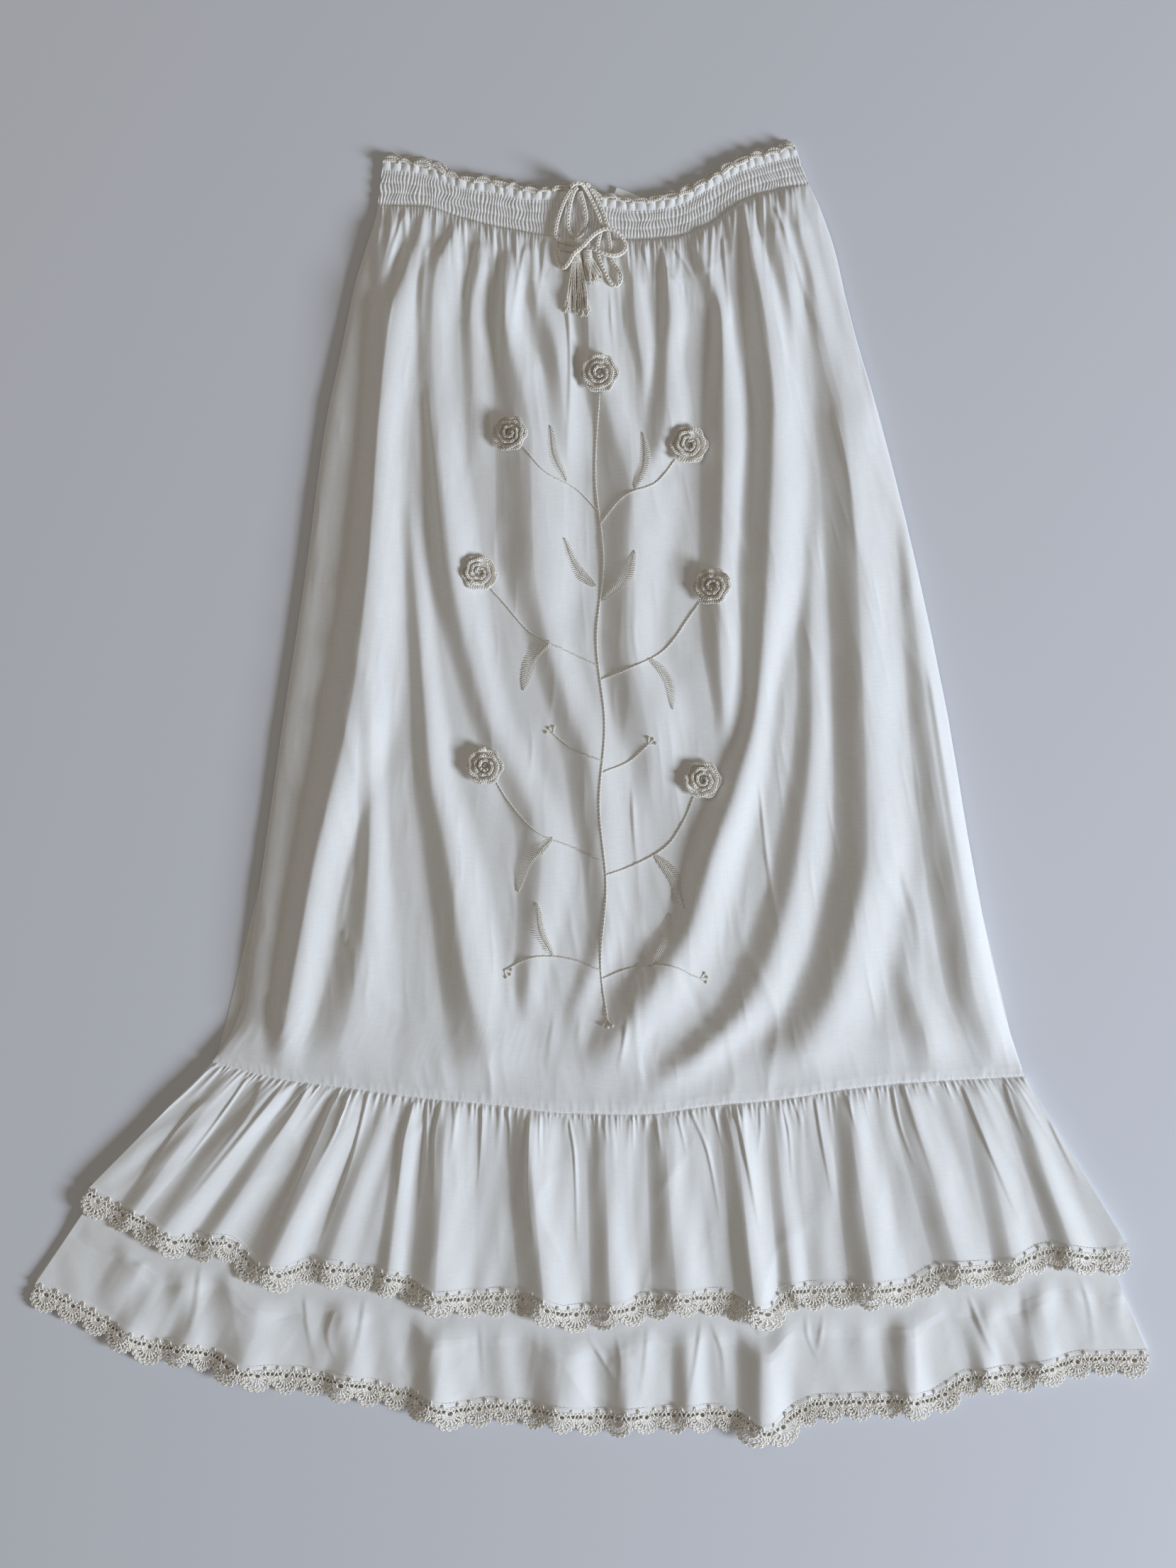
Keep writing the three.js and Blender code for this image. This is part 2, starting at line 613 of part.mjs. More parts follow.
// Crocheted drawstring, laid in a loose bow at the centre front; columns: x, y, z
const cordSides = 8;
const cordStep = 2.2 * cordDiameter;
const cordRoutes = {
  // Leaves the heading on the left, knots, makes the right and the left bow loop
  drawstring_left: [
    [-21.5, 435.8, 8.2], [-25.2, 426.8, 8.0], [-27.8, 416.9, 8.0], [-28.4, 409.5, 8.0],
    [-24.2, 405.8, 8.5], [-17.9, 403.7, 9.0], [-11, 402.2, 9.9], [-4.7, 400.6, 12.4],
    [1.1, 397.4, 14.6], [6.8, 394.8, 15], [13.7, 393.2, 14.2], [20.5, 395.9, 11.5],
    [23.6, 401.1, 9.8], [21.5, 406.9, 10], [15.8, 412.1, 11.6], [8.4, 413.7, 12],
    [1.6, 410.6, 12], [-4.2, 404.8, 14], [-9.5, 398.5, 15.4], [-14.7, 393.8, 17.4],
    [-18.6, 387.8, 15.6], [-22.4, 384.6, 13.4], [-25.7, 388.5, 11.8], [-27.3, 395.3, 10.8],
    [-25.2, 400.1, 9.8], [-19.9, 399, 10.2], [-14.2, 397.9, 11.4],
  ],
  // Leaves the heading on the right, makes the small low loop and goes back up
  drawstring_right: [
    [-2.6, 437.9, 8.2], [0.5, 431, 8.1], [3.7, 423.7, 8.1], [5.3, 416.9, 8.0], [4.2, 409.5, 8.1],
    [2.6, 403.2, 9.4], [2.6, 396.9, 11], [4.2, 390.1, 12.8], [6.8, 383.3, 14], [10.5, 376.4, 14.3],
    [14.7, 371.2, 13.8], [18.4, 372.8, 14], [19.9, 378, 14], [17.9, 383.3, 12.6],
    [14.2, 388.5, 11.2], [12.1, 395.9, 10], [11.6, 404.3, 8.6], [10.5, 412.7, 8], [8.9, 421.1, 8],
    [5.8, 429.5, 8], [2.1, 436.8, 8.3],
  ],
  // A short loop between them
  drawstring_middle: [
    [-17.2, 434.7, 8.2], [-18.8, 426.8, 8], [-19.2, 419, 8], [-17.9, 412.7, 8], [-13.7, 408.5, 8.3],
    [-9.5, 411.1, 8], [-6.8, 417.4, 8], [-5.8, 424.2, 8], [-7.4, 433.7, 8.2],
  ],
};
for (const [name, points] of Object.entries(cordRoutes)) {
  const path = new THREE.CatmullRomCurve3(points.map((point) => new THREE.Vector3(...point)));
  const steps = Math.round(path.getLength() / cordStep);
  add(name, tube(points, cordDiameter, cordSides, steps), materials.cord);
}

// Tassels: thread strands fused at their roots into a bound head; tips run left to right
const strandSides = 3;
const strandSteps = 3;
const headLength = 6;
const headThick = 2.1;
const headTaper = 0.8;
const rootSpread = 0.8;
const rootDepth = 1;
const rowGap = 1.5;
const tipStagger = 2;
const clothSamples = 4;
const tassels = {
  tassel_long: { head: [-12.8, 392.2], half: 4, strands: 8, tips: [[-19.5, 353], [-4.5, 348]] },
  tassel_short: { head: [-4.6, 393.4], half: 3.3, strands: 6, tips: [[-3.4, 371], [5.5, 377]] },
};
const solid = (geometry) => {
  const bare = geometry.clone();
  bare.deleteAttribute("normal");
  bare.deleteAttribute("uv");
  const merged = mergeVertices(bare, 1e-4);
  return new wasm.Manifold(new wasm.Mesh({
    numProp: 3,
    vertProperties: new Float32Array(merged.getAttribute("position").array),
    triVerts: new Uint32Array(merged.getIndex().array),
  }));
};
// A strand leaves the head at its root and then lies over the highest cloth beside each point
function strandPoints(root, tip, lift) {
  const along = (t) => [lerp(root[0], tip[0], t), lerp(root[1], tip[1], t)];
  const points = [root];
  for (let k = 1; k <= strandSteps; k += 1) {
    let high = 0;
    for (let sample = -clothSamples; sample <= clothSamples; sample += 1) {
      const t = clamp((k + sample / clothSamples) / strandSteps, 0, 1);
      high = Math.max(high, topAt(...along(t)));
    }
    points.push([...along(k / strandSteps), high + lift]);
  }
  return points;
}
function tassel({ head, half, strands, tips }) {
  const [headX, headY] = head;
  let seat = 0;
  for (const dx of [-half, -half / 2, 0, half / 2, half]) {
    for (const dy of [-headLength / 2, 0, headLength / 2]) {
      seat = Math.max(seat, topAt(headX + dx, headY + dy));
    }
  }
  const middle = seat + seamGap + headThick;
  const bound = new THREE.CylinderGeometry(headTaper, 1, headLength, cordSides);
  bound.scale(half, 1, headThick);
  bound.translate(headX, headY, middle);
  let body = solid(bound);
  for (let row = 0; row < 2; row += 1) {
    for (let k = 0; k < strands; k += 1) {
      const share = (k + 0.5 * row) / (strands - 0.5);
      const root = [
        headX + (2 * share - 1) * half * rootSpread,
        headY - headLength / 2 + rootDepth,
        middle + (row - 0.5) * rowGap,
      ];
      const tip = [
        lerp(tips[0][0], tips[1][0], share),
        lerp(tips[0][1], tips[1][1], share) + tipStagger * (k % 3),
      ];
      const points = strandPoints(root, tip, seamGap + strandDiameter / 2 + row * rowGap);
      body = body.add(solid(tube(points, strandDiameter, strandSides, strandSteps)));
    }
  }
  const joined = body.getMesh();
  const geometry = new THREE.BufferGeometry();
  geometry.setAttribute("position", new THREE.BufferAttribute(joined.vertProperties, 3));
  geometry.setIndex(new THREE.BufferAttribute(joined.triVerts, 1));
  geometry.computeVertexNormals();
  return geometry;
}
for (const [name, sizes] of Object.entries(tassels)) add(name, tassel(sizes), materials.cord);

export default skirt;
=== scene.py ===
# Prairie skirt laid flat on its back, waist towards +Y, front upwards.
# Objects are in metres. The tables of the laid-out skirt are in millimetres on its plan,
# as a maker would measure it, and toFrame turns them into metres in the frame.
import math
import bpy
import numpy as np
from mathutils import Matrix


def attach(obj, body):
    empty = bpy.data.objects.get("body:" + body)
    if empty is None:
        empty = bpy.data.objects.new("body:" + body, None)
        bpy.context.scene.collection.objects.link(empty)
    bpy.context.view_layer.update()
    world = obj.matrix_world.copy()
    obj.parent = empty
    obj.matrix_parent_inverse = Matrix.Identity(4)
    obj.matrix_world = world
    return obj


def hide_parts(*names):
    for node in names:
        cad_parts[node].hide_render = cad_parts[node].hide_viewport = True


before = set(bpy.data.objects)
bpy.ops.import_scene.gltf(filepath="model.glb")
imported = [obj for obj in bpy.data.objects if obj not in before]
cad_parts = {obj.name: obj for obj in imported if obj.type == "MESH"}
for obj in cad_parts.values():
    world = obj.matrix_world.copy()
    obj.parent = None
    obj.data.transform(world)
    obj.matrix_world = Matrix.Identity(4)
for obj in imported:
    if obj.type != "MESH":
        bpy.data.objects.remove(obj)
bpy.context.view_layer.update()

mm = 0.001
outlineShift = np.array([3.75, 1.77, 0.0])  # brings the plan over the frame's origin


def toFrame(points):
    return (np.asarray(points, float) + outlineShift) * mm


def mix(a, b, t):
    return a + (b - a) * t


def share(value, low=0.0, high=1.0):
    return np.clip(value, low, high)


def bump(distance, half):
    return np.where(np.abs(distance) < half, 0.5 + 0.5 * np.cos(np.pi * distance / half), 0.0)


# A table of rows read as a smooth line that never overshoots: first column the key
def smoothLine(rows):
    table = np.array(sorted(rows), float)
    keys = table[:, 0]
    values = table[:, 1:]
    slope = np.diff(values, axis=0) / np.diff(keys)[:, None]
    product = slope[:-1] * slope[1:]
    total = slope[:-1] + slope[1:]
    inner = np.where(product > 0, 2 * product / np.where(total == 0, 1, total), 0)
    tangent = np.vstack([slope[:1], inner, slope[-1:]])

    def at(key, column=0):
        key = np.clip(np.asarray(key, float), keys[0], keys[-1])
        i = np.clip(np.searchsorted(keys, key, side="right") - 1, 0, len(keys) - 2)
        width = keys[i + 1] - keys[i]
        t = (key - keys[i]) / width
        a = values[i, column]
        b = values[i + 1, column]
        ta = tangent[i, column] * width
        tb = tangent[i + 1, column] * width
        return a + ta * t + (3 * (b - a) - 2 * ta - tb) * t**2 + (2 * (a - b) + ta + tb) * t**3

    return at


# Even, repeatable unevenness between -1 and 1: a few crossing waves of one rough size
def unevenness(x, y, sizeX, sizeY, seed):
    draw = np.random.default_rng(seed)
    total = 0.0
    for wave in range(7):
        turn = draw.uniform(0, 2 * np.pi)
        stretch = draw.uniform(0.6, 1.6)
        phase = draw.uniform(0, 2 * np.pi)
        total = total + np.sin(2 * np.pi * stretch * (x / sizeX * np.cos(turn) + y / sizeY * np.sin(turn)) + phase)
    return total / 4


# Colours are written as they look on a screen and turned to linear here
def colour(hexText):
    channels = [int(hexText[i:i + 2], 16) / 255 for i in (1, 3, 5)]
    return tuple(c / 12.92 if c <= 0.04045 else ((c + 0.055) / 1.055) ** 2.4 for c in channels) + (1.0,)


def addNode(tree, kind, settings=None, inputs=None):
    made = tree.nodes.new(kind)
    for key, value in (settings or {}).items():
        setattr(made, key, value)
    for key, value in (inputs or {}).items():
        if isinstance(value, bpy.types.NodeSocket):
            tree.links.new(value, made.inputs[key])
        else:
            made.inputs[key].default_value = value
    return made


# The camera looks straight down, as the photograph was taken
cameraSet = {"lens": 40, "sensor": 36, "viewHeight": 1.161, "lookAt": (-0.0007, 0.0070), "clothLevel": 0.004}

cameraData = bpy.data.cameras.new("camera")
cameraData.sensor_fit = "VERTICAL"
cameraData.sensor_height = cameraSet["sensor"]
cameraData.lens = cameraSet["lens"]
camera = bpy.data.objects.new("camera", cameraData)
camera.location = (
    *cameraSet["lookAt"],
    cameraSet["viewHeight"] * cameraSet["lens"] / cameraSet["sensor"] + cameraSet["clothLevel"],
)
bpy.context.scene.collection.objects.link(camera)
bpy.context.scene.camera = camera
print("camera placed")


# Materials

def newMaterial(name, hexText, roughness):
    material = bpy.data.materials.new(name)
    material.use_nodes = True
    tree = material.node_tree
    shader = tree.nodes["Principled BSDF"]
    shader.inputs["Base Color"].default_value = colour(hexText)
    shader.inputs["Roughness"].default_value = roughness
    return material, tree, shader


# Cotton lawn, plain woven and washed soft: matt, faintly fuzzy, with slubs in both directions.
# Its threads lie 0.35 mm apart, too fine to show, so the slubs carry the weave.
def makeLawn():
    lawn = {"light": "#F2F3F2", "dark": "#E5E6E4", "slubWide": 0.65 * mm, "slubLong": 11 * mm,
            "crumpleWide": 17 * mm, "crumpleLong": 60 * mm}
    material, tree, shader = newMaterial("cotton_lawn", lawn["light"], 0.86)
    cut = addNode(tree, "ShaderNodeUVMap", {"uv_map": "cut"})
    slubs = []
    for wide, long in ((lawn["slubWide"], lawn["slubLong"]), (lawn["slubLong"], lawn["slubWide"])):
        place = addNode(tree, "ShaderNodeMapping", None, {"Vector": cut.outputs["UV"], "Scale": (1 / wide, 1 / long, 1)})
        slubs.append(addNode(tree, "ShaderNodeTexNoise", None, {"Vector": place.outputs["Vector"], "Scale": 1.0, "Detail": 2.0}))
    weave = addNode(tree, "ShaderNodeMath", {"operation": "ADD"}, {0: slubs[0].outputs["Fac"], 1: slubs[1].outputs["Fac"]})
    tone = addNode(tree, "ShaderNodeMapRange", None, {"Value": weave.outputs[0], "From Min": 0.5, "From Max": 1.4})
    tint = addNode(tree, "ShaderNodeMix", {"data_type": "RGBA"},
                   {0: tone.outputs["Result"], 6: colour(lawn["dark"]), 7: colour(lawn["light"])})
    place = addNode(tree, "ShaderNodeMapping", None, {
        "Vector": cut.outputs["UV"], "Scale": (1 / lawn["crumpleWide"], 1 / lawn["crumpleLong"], 1)})
    crumple = addNode(tree, "ShaderNodeTexNoise", {"noise_type": "RIDGED_MULTIFRACTAL"},
                      {"Vector": place.outputs["Vector"], "Scale": 1.0, "Detail": 3.0, "Distortion": 0.4})
    creases = addNode(tree, "ShaderNodeBump", None, {"Strength": 0.5, "Distance": 0.5 * mm, "Height": crumple.outputs["Fac"]})
    relief = addNode(tree, "ShaderNodeBump", None, {
        "Strength": 0.18, "Distance": 0.2 * mm, "Height": weave.outputs[0], "Normal": creases.outputs["Normal"]})
    tree.links.new(tint.outputs[2], shader.inputs["Base Color"])
    tree.links.new(relief.outputs["Normal"], shader.inputs["Normal"])
    shader.inputs["Sheen Weight"].default_value = 0.25
    shader.inputs["Sheen Roughness"].default_value = 0.5
    shader.inputs["Specular IOR Level"].default_value = 0.25
    return material


# Mercerised cotton thread, two-ply and tightly twisted: a soft gloss on each turn of the ply
def makeThread(name, hexText, darkHex, roughness, plyLength, lumpSize=None):
    material, tree, shader = newMaterial(name, hexText, roughness)
    place = addNode(tree, "ShaderNodeTexCoord")
    ply = addNode(tree, "ShaderNodeTexNoise", None, {"Vector": place.outputs["Object"], "Scale": 1 / plyLength, "Detail": 3.0})
    tone = addNode(tree, "ShaderNodeMapRange", None, {"Value": ply.outputs["Fac"], "From Min": 0.3, "From Max": 0.7})
    tint = addNode(tree, "ShaderNodeMix", {"data_type": "RGBA"},
                   {0: tone.outputs["Result"], 6: colour(darkHex), 7: colour(hexText)})
    relief = addNode(tree, "ShaderNodeBump", None, {"Strength": 0.65, "Distance": 0.25 * mm, "Height": ply.outputs["Fac"]})
    if lumpSize:
        lumps = addNode(tree, "ShaderNodeTexVoronoi", {"feature": "SMOOTH_F1"},
                        {"Vector": place.outputs["Object"], "Scale": 1 / lumpSize, "Smoothness": 0.6})
        relief = addNode(tree, "ShaderNodeBump", {"invert": True}, {
            "Strength": 0.6, "Distance": 0.4 * mm, "Height": lumps.outputs["Distance"], "Normal": relief.outputs["Normal"]})
    tree.links.new(tint.outputs[2], shader.inputs["Base Color"])
    tree.links.new(relief.outputs["Normal"], shader.inputs["Normal"])
    shader.inputs["Sheen Weight"].default_value = 0.2
    shader.inputs["Specular IOR Level"].default_value = 0.35
    return material


# Woven polyester label tape: whiter and smoother than the cotton, with a fine rib
def makeTape():
    material, tree, shader = newMaterial("label_tape", "#F6F6F5", 0.55)
    cut = addNode(tree, "ShaderNodeUVMap", {"uv_map": "cut"})
    ribs = addNode(tree, "ShaderNodeTexWave", {"wave_type": "BANDS", "bands_direction": "Y"},
                   {"Vector": cut.outputs["UV"], "Scale": 1 / (2 * np.pi * 0.8 * mm), "Distortion": 0.4})
    relief = addNode(tree, "ShaderNodeBump", None, {"Strength": 0.3, "Distance": 0.1 * mm, "Height": ribs.outputs["Fac"]})
    tree.links.new(relief.outputs["Normal"], shader.inputs["Normal"])
    return material


lawn = makeLawn()
crochetCotton = makeThread("crochet_cotton", "#FAF7F0", "#EEE9DE", 0.85, 0.8 * mm, 1.5 * mm)
cordCotton = makeThread("cord_cotton", "#F8F4EC", "#EBE5D9", 0.75, 1.0 * mm)
embroideryFloss = makeThread("embroidery_floss", "#F0ECE3", "#DCD6CA", 0.6, 0.9 * mm)
sewingThread = makeThread("sewing_thread", "#F3F2EE", "#E9E7E1", 0.7, 0.6 * mm)
labelTape = makeTape()
print("materials made")


# Meshes

def linkMesh(name, verts, faces, material, perVertexCut=None, sharpAngle=None):
    mesh = bpy.data.meshes.new(name)
    mesh.from_pydata([tuple(v) for v in verts], [], faces)
    mesh.materials.append(material)
    mesh.polygons.foreach_set("use_smooth", [True] * len(mesh.polygons))
    if perVertexCut is not None:
        corner = np.empty(len(mesh.loops), int)
        mesh.loops.foreach_get("vertex_index", corner)
        layer = mesh.uv_layers.new(name="cut")
        layer.data.foreach_set("uv", np.asarray(perVertexCut, float)[corner].ravel())
    if sharpAngle is not None:
        mesh.set_sharp_from_angle(angle=sharpAngle)
    mesh.update()
    piece = bpy.data.objects.new(name, mesh)
    bpy.context.scene.collection.objects.link(piece)
    return piece


# Lowers the plain underside where it would show through the face between two of its rows
def tucked(upper, lower, skip, clear=0.5):
    along = np.arange(len(upper))
    row = np.minimum(along // skip, len(lower) - 2)
    t = ((along - row * skip) / skip)[:, None]
    above = mix(lower[row, :, 2], lower[row + 1, :, 2], t) - (upper[..., 2] - clear)
    need = np.zeros(lower.shape[:2])
    for k in range(len(lower)):
        near = above[max(0, (k - 1) * skip):(k + 1) * skip + 1]
        need[k] = np.maximum(near.max(axis=0), 0)
    low = lower.copy()
    low[..., 2] = np.maximum(low[..., 2] - need, np.minimum(low[..., 2], 0.0))
    return low


# A thin cloth shell: a fine upper face and a plain underside with the same columns and fewer rows
def clothShell(name, upper, lower, cutSize, material=None):
    rows = upper.shape[0] - 1
    columns = upper.shape[1] - 1
    lowRows = lower.shape[0] - 1
    skip = rows // lowRows
    lower = tucked(upper, lower, skip)
    up = np.arange((rows + 1) * (columns + 1)).reshape(rows + 1, columns + 1)
    low = up.size + np.arange((lowRows + 1) * (columns + 1)).reshape(lowRows + 1, columns + 1)
    quads = lambda a, b, c, d: np.stack([a, b, c, d], -1).reshape(-1, 4).tolist()
    faces = quads(up[:-1, :-1], up[1:, :-1], up[1:, 1:], up[:-1, 1:])
    faces += quads(low[:-1, :-1], low[:-1, 1:], low[1:, 1:], low[1:, :-1])
    faces += quads(up[0, :-1], up[0, 1:], low[0, 1:], low[0, :-1])
    faces += quads(up[-1, 1:], up[-1, :-1], low[-1, :-1], low[-1, 1:])
    for s in range(lowRows):
        left = up[s * skip:(s + 1) * skip + 1, 0].tolist()
        right = up[s * skip:(s + 1) * skip + 1, -1].tolist()
        faces.append([*reversed(left), int(low[s, 0]), int(low[s + 1, 0])])
        faces.append([*right, int(low[s + 1, -1]), int(low[s, -1])])
    across = lambda grid: np.stack(np.meshgrid(
        np.linspace(0, cutSize[0], grid.shape[1]), np.linspace(cutSize[1], 0, grid.shape[0])), -1).reshape(-1, 2)
    verts = toFrame(np.vstack([upper.reshape(-1, 3), lower.reshape(-1, 3)]))
    cut = np.vstack([across(upper), across(lower)]) * mm
    return linkMesh(name, verts, faces, material or lawn, cut, math.radians(60))


# Round threads through lists of points, as one mesh; loops close on themselves
def threadMesh(name, runs, radius, material, sides=1, closed=()):
    data = bpy.data.curves.new(name, "CURVE")
    data.dimensions = "3D"
    data.bevel_depth = radius
    data.bevel_resolution = sides
    data.use_fill_caps = True
    for number, run in enumerate(runs):
        spline = data.splines.new("POLY")
        spline.points.add(len(run) - 1)
        spline.points.foreach_set("co", np.column_stack([run, np.ones(len(run))]).ravel())
        spline.use_cyclic_u = number in closed
    curve = bpy.data.objects.new(name + "_line", data)
    bpy.context.scene.collection.objects.link(curve)
    mesh = bpy.data.meshes.new_from_object(curve.evaluated_get(bpy.context.evaluated_depsgraph_get()))
    bpy.data.objects.remove(curve)
    mesh.materials.clear()
    mesh.materials.append(material)
    mesh.polygons.foreach_set("use_smooth", [True] * len(mesh.polygons))
    piece = bpy.data.objects.new(name, mesh)
    bpy.context.scene.collection.objects.link(piece)
    return piece


# A path as a line of edges, each point with the way that its sideways direction points
def pathObject(name, points, sideways):
    mesh = bpy.data.meshes.new(name)
    mesh.from_pydata([tuple(p) for p in points], [(i, i + 1) for i in range(len(points) - 1)], [])
    attribute = mesh.attributes.new("sideways", "FLOAT_VECTOR", "POINT")
    attribute.data.foreach_set("vector", np.asarray(sideways, float).ravel())
    line = bpy.data.objects.new(name, mesh)
    bpy.context.scene.collection.objects.link(line)
    return line


def flatSideways(points):
    along = np.gradient(np.asarray(points, float), axis=0)
    side = np.cross(along, (0, 0, 1))
    return side / np.linalg.norm(side, axis=1, keepdims=True)


# Geometry Nodes: repeats a unit along a path and bends each repeat to it. In the unit,
# x runs along the path, y sideways and z up. Taper 1 draws the sides in at both ends, as on a leaf.
def followTree():
    tree = bpy.data.node_groups.new("repeat_along_path", "GeometryNodeTree")
    for socketName, kind in (
        ("Geometry", "NodeSocketGeometry"), ("Unit", "NodeSocketObject"), ("Path", "NodeSocketObject"),
        ("Repeat Length", "NodeSocketFloat"), ("Count", "NodeSocketInt"), ("Taper", "NodeSocketFloat"),
        ("Uneven", "NodeSocketFloat"), ("Join Within", "NodeSocketFloat"), ("Seed", "NodeSocketInt"),
        ("Material", "NodeSocketMaterial"),
    ):
        tree.interface.new_socket(name=socketName, in_out="INPUT", socket_type=kind)
    tree.interface.new_socket(name="Geometry", in_out="OUTPUT", socket_type="NodeSocketGeometry")
    given = addNode(tree, "NodeGroupInput").outputs
    math_ = lambda operation, a, b=0.0: addNode(tree, "ShaderNodeMath", {"operation": operation}, {0: a, 1: b}).outputs[0]
    unit = addNode(tree, "GeometryNodeObjectInfo", None, {"Object": given["Unit"]})
    path = addNode(tree, "GeometryNodeObjectInfo", None, {"Object": given["Path"]})
    curve = addNode(tree, "GeometryNodeMeshToCurve", None, {"Mesh": path.outputs["Geometry"]})
    step = addNode(tree, "ShaderNodeCombineXYZ", None, {"X": given["Repeat Length"]})
    line = addNode(tree, "GeometryNodeMeshLine", None, {"Count": given["Count"], "Offset": step.outputs[0]})
    grow = math_("ADD", 1.0, given["Uneven"])
    shrink = math_("SUBTRACT", 1.0, given["Uneven"])
    size = addNode(tree, "FunctionNodeRandomValue", {"data_type": "FLOAT"},
                   {"Min": shrink, "Max": grow, "Seed": given["Seed"]})
    scale = addNode(tree, "ShaderNodeCombineXYZ", None, {"X": 1.0, "Y": size.outputs[1], "Z": 1.0})
    copies = addNode(tree, "GeometryNodeInstanceOnPoints", None, {
        "Points": line.outputs["Mesh"], "Instance": unit.outputs["Geometry"], "Scale": scale.outputs[0]})
    whole = addNode(tree, "GeometryNodeRealizeInstances", None, {"Geometry": copies.outputs["Instances"]})
    place = addNode(tree, "ShaderNodeSeparateXYZ", None, {0: addNode(tree, "GeometryNodeInputPosition").outputs[0]})
    length = math_("MULTIPLY", given["Repeat Length"], given["Count"])
    factor = math_("DIVIDE", place.outputs["X"], length)
    sideways = addNode(tree, "GeometryNodeInputNamedAttribute", {"data_type": "FLOAT_VECTOR"}, {"Name": "sideways"})
    sample = addNode(tree, "GeometryNodeSampleCurve", {"data_type": "FLOAT_VECTOR", "mode": "FACTOR"},
                     {"Curves": curve.outputs["Curve"], "Value": sideways.outputs[0], "Factor": factor})
    up = addNode(tree, "ShaderNodeVectorMath", {"operation": "CROSS_PRODUCT"},
                 {0: sample.outputs["Value"], 1: sample.outputs["Tangent"]})
    upright = addNode(tree, "ShaderNodeVectorMath", {"operation": "NORMALIZE"}, {0: up.outputs[0]})
    arch = math_("POWER", math_("SINE", math_("MULTIPLY", factor, math.pi)), 0.6)
    drawn = addNode(tree, "ShaderNodeMix", {"data_type": "FLOAT"}, {0: given["Taper"], 2: 1.0, 3: arch})
    across = math_("MULTIPLY", place.outputs["Y"], drawn.outputs[0])
    out = addNode(tree, "ShaderNodeVectorMath", {"operation": "SCALE"}, {0: sample.outputs["Value"], "Scale": across})
    high = addNode(tree, "ShaderNodeVectorMath", {"operation": "SCALE"}, {0: upright.outputs[0], "Scale": place.outputs["Z"]})
    reach = addNode(tree, "ShaderNodeVectorMath", {"operation": "ADD"}, {0: out.outputs[0], 1: high.outputs[0]})
    there = addNode(tree, "ShaderNodeVectorMath", {"operation": "ADD"}, {0: sample.outputs["Position"], 1: reach.outputs[0]})
    bent = addNode(tree, "GeometryNodeSetPosition", None, {"Geometry": whole.outputs[0], "Position": there.outputs[0]})
    joined = addNode(tree, "GeometryNodeMergeByDistance", None, {"Geometry": bent.outputs[0], "Distance": given["Join Within"]})
    plain = addNode(tree, "GeometryNodeRealizeInstances", None, {"Geometry": joined.outputs[0]})
    dressed = addNode(tree, "GeometryNodeSetMaterial", None, {"Geometry": plain.outputs[0], "Material": given["Material"]})
    addNode(tree, "NodeGroupOutput", None, {"Geometry": dressed.outputs[0]})
    return tree


repeatTree = followTree()


def repeatAlong(name, unit, paths, repeatLength, material, taper=0.0, uneven=0.0, joinWithin=0.0, seed=1,
                wander=0.0, wanderSize=7 * mm):
    parts = []
    identifiers = {item.name: item.identifier for item in repeatTree.interface.items_tree if item.in_out == "INPUT"}
    for number, (points, sideways) in enumerate(paths):
        length = np.linalg.norm(np.diff(points, axis=0), axis=1).sum()
        path = pathObject(name + "_path", points, sideways)
        holder = bpy.data.objects.new(name + "_holder", bpy.data.meshes.new(name + "_holder"))
        bpy.context.scene.collection.objects.link(holder)
        modifier = holder.modifiers.new("repeat", "NODES")
        modifier.node_group = repeatTree
        for socketName, value in {
            "Unit": unit, "Path": path, "Repeat Length": repeatLength, "Count": max(1, round(length / repeatLength)),
            "Taper": taper, "Uneven": uneven, "Join Within": joinWithin, "Seed": seed + number, "Material": material,
        }.items():
            modifier[identifiers[socketName]] = value
        parts.append(bpy.data.meshes.new_from_object(holder.evaluated_get(bpy.context.evaluated_depsgraph_get())))
        holder.modifiers.remove(modifier)
        bpy.data.objects.remove(holder)
        bpy.data.objects.remove(path)
    return joinMeshes(name, parts, material, wander, wanderSize)


# Parts become one mesh; wander pushes it about a little, as handwork is
def joinMeshes(name, parts, material, wander=0.0, wanderSize=7 * mm):
    verts = []
    faces = []
    for mesh in parts:
        start = sum(len(v) for v in verts)
        place = np.empty(len(mesh.vertices) * 3)
        mesh.vertices.foreach_get("co", place)
        verts.append(place.reshape(-1, 3))
        faces += [[start + i for i in face.vertices] for face in mesh.polygons]
    verts = np.vstack(verts)
    x, y, z = verts.T
    push = [unevenness(x + z, y + z, wanderSize, wanderSize, seed) for seed in (91, 92, 93)]
    return linkMesh(name, verts + wander * np.column_stack(push) * (1, 1, 0.5), faces, material)


def finishPiece(piece, nodes):
    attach(piece, "root")
    if nodes:
        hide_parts(*nodes)


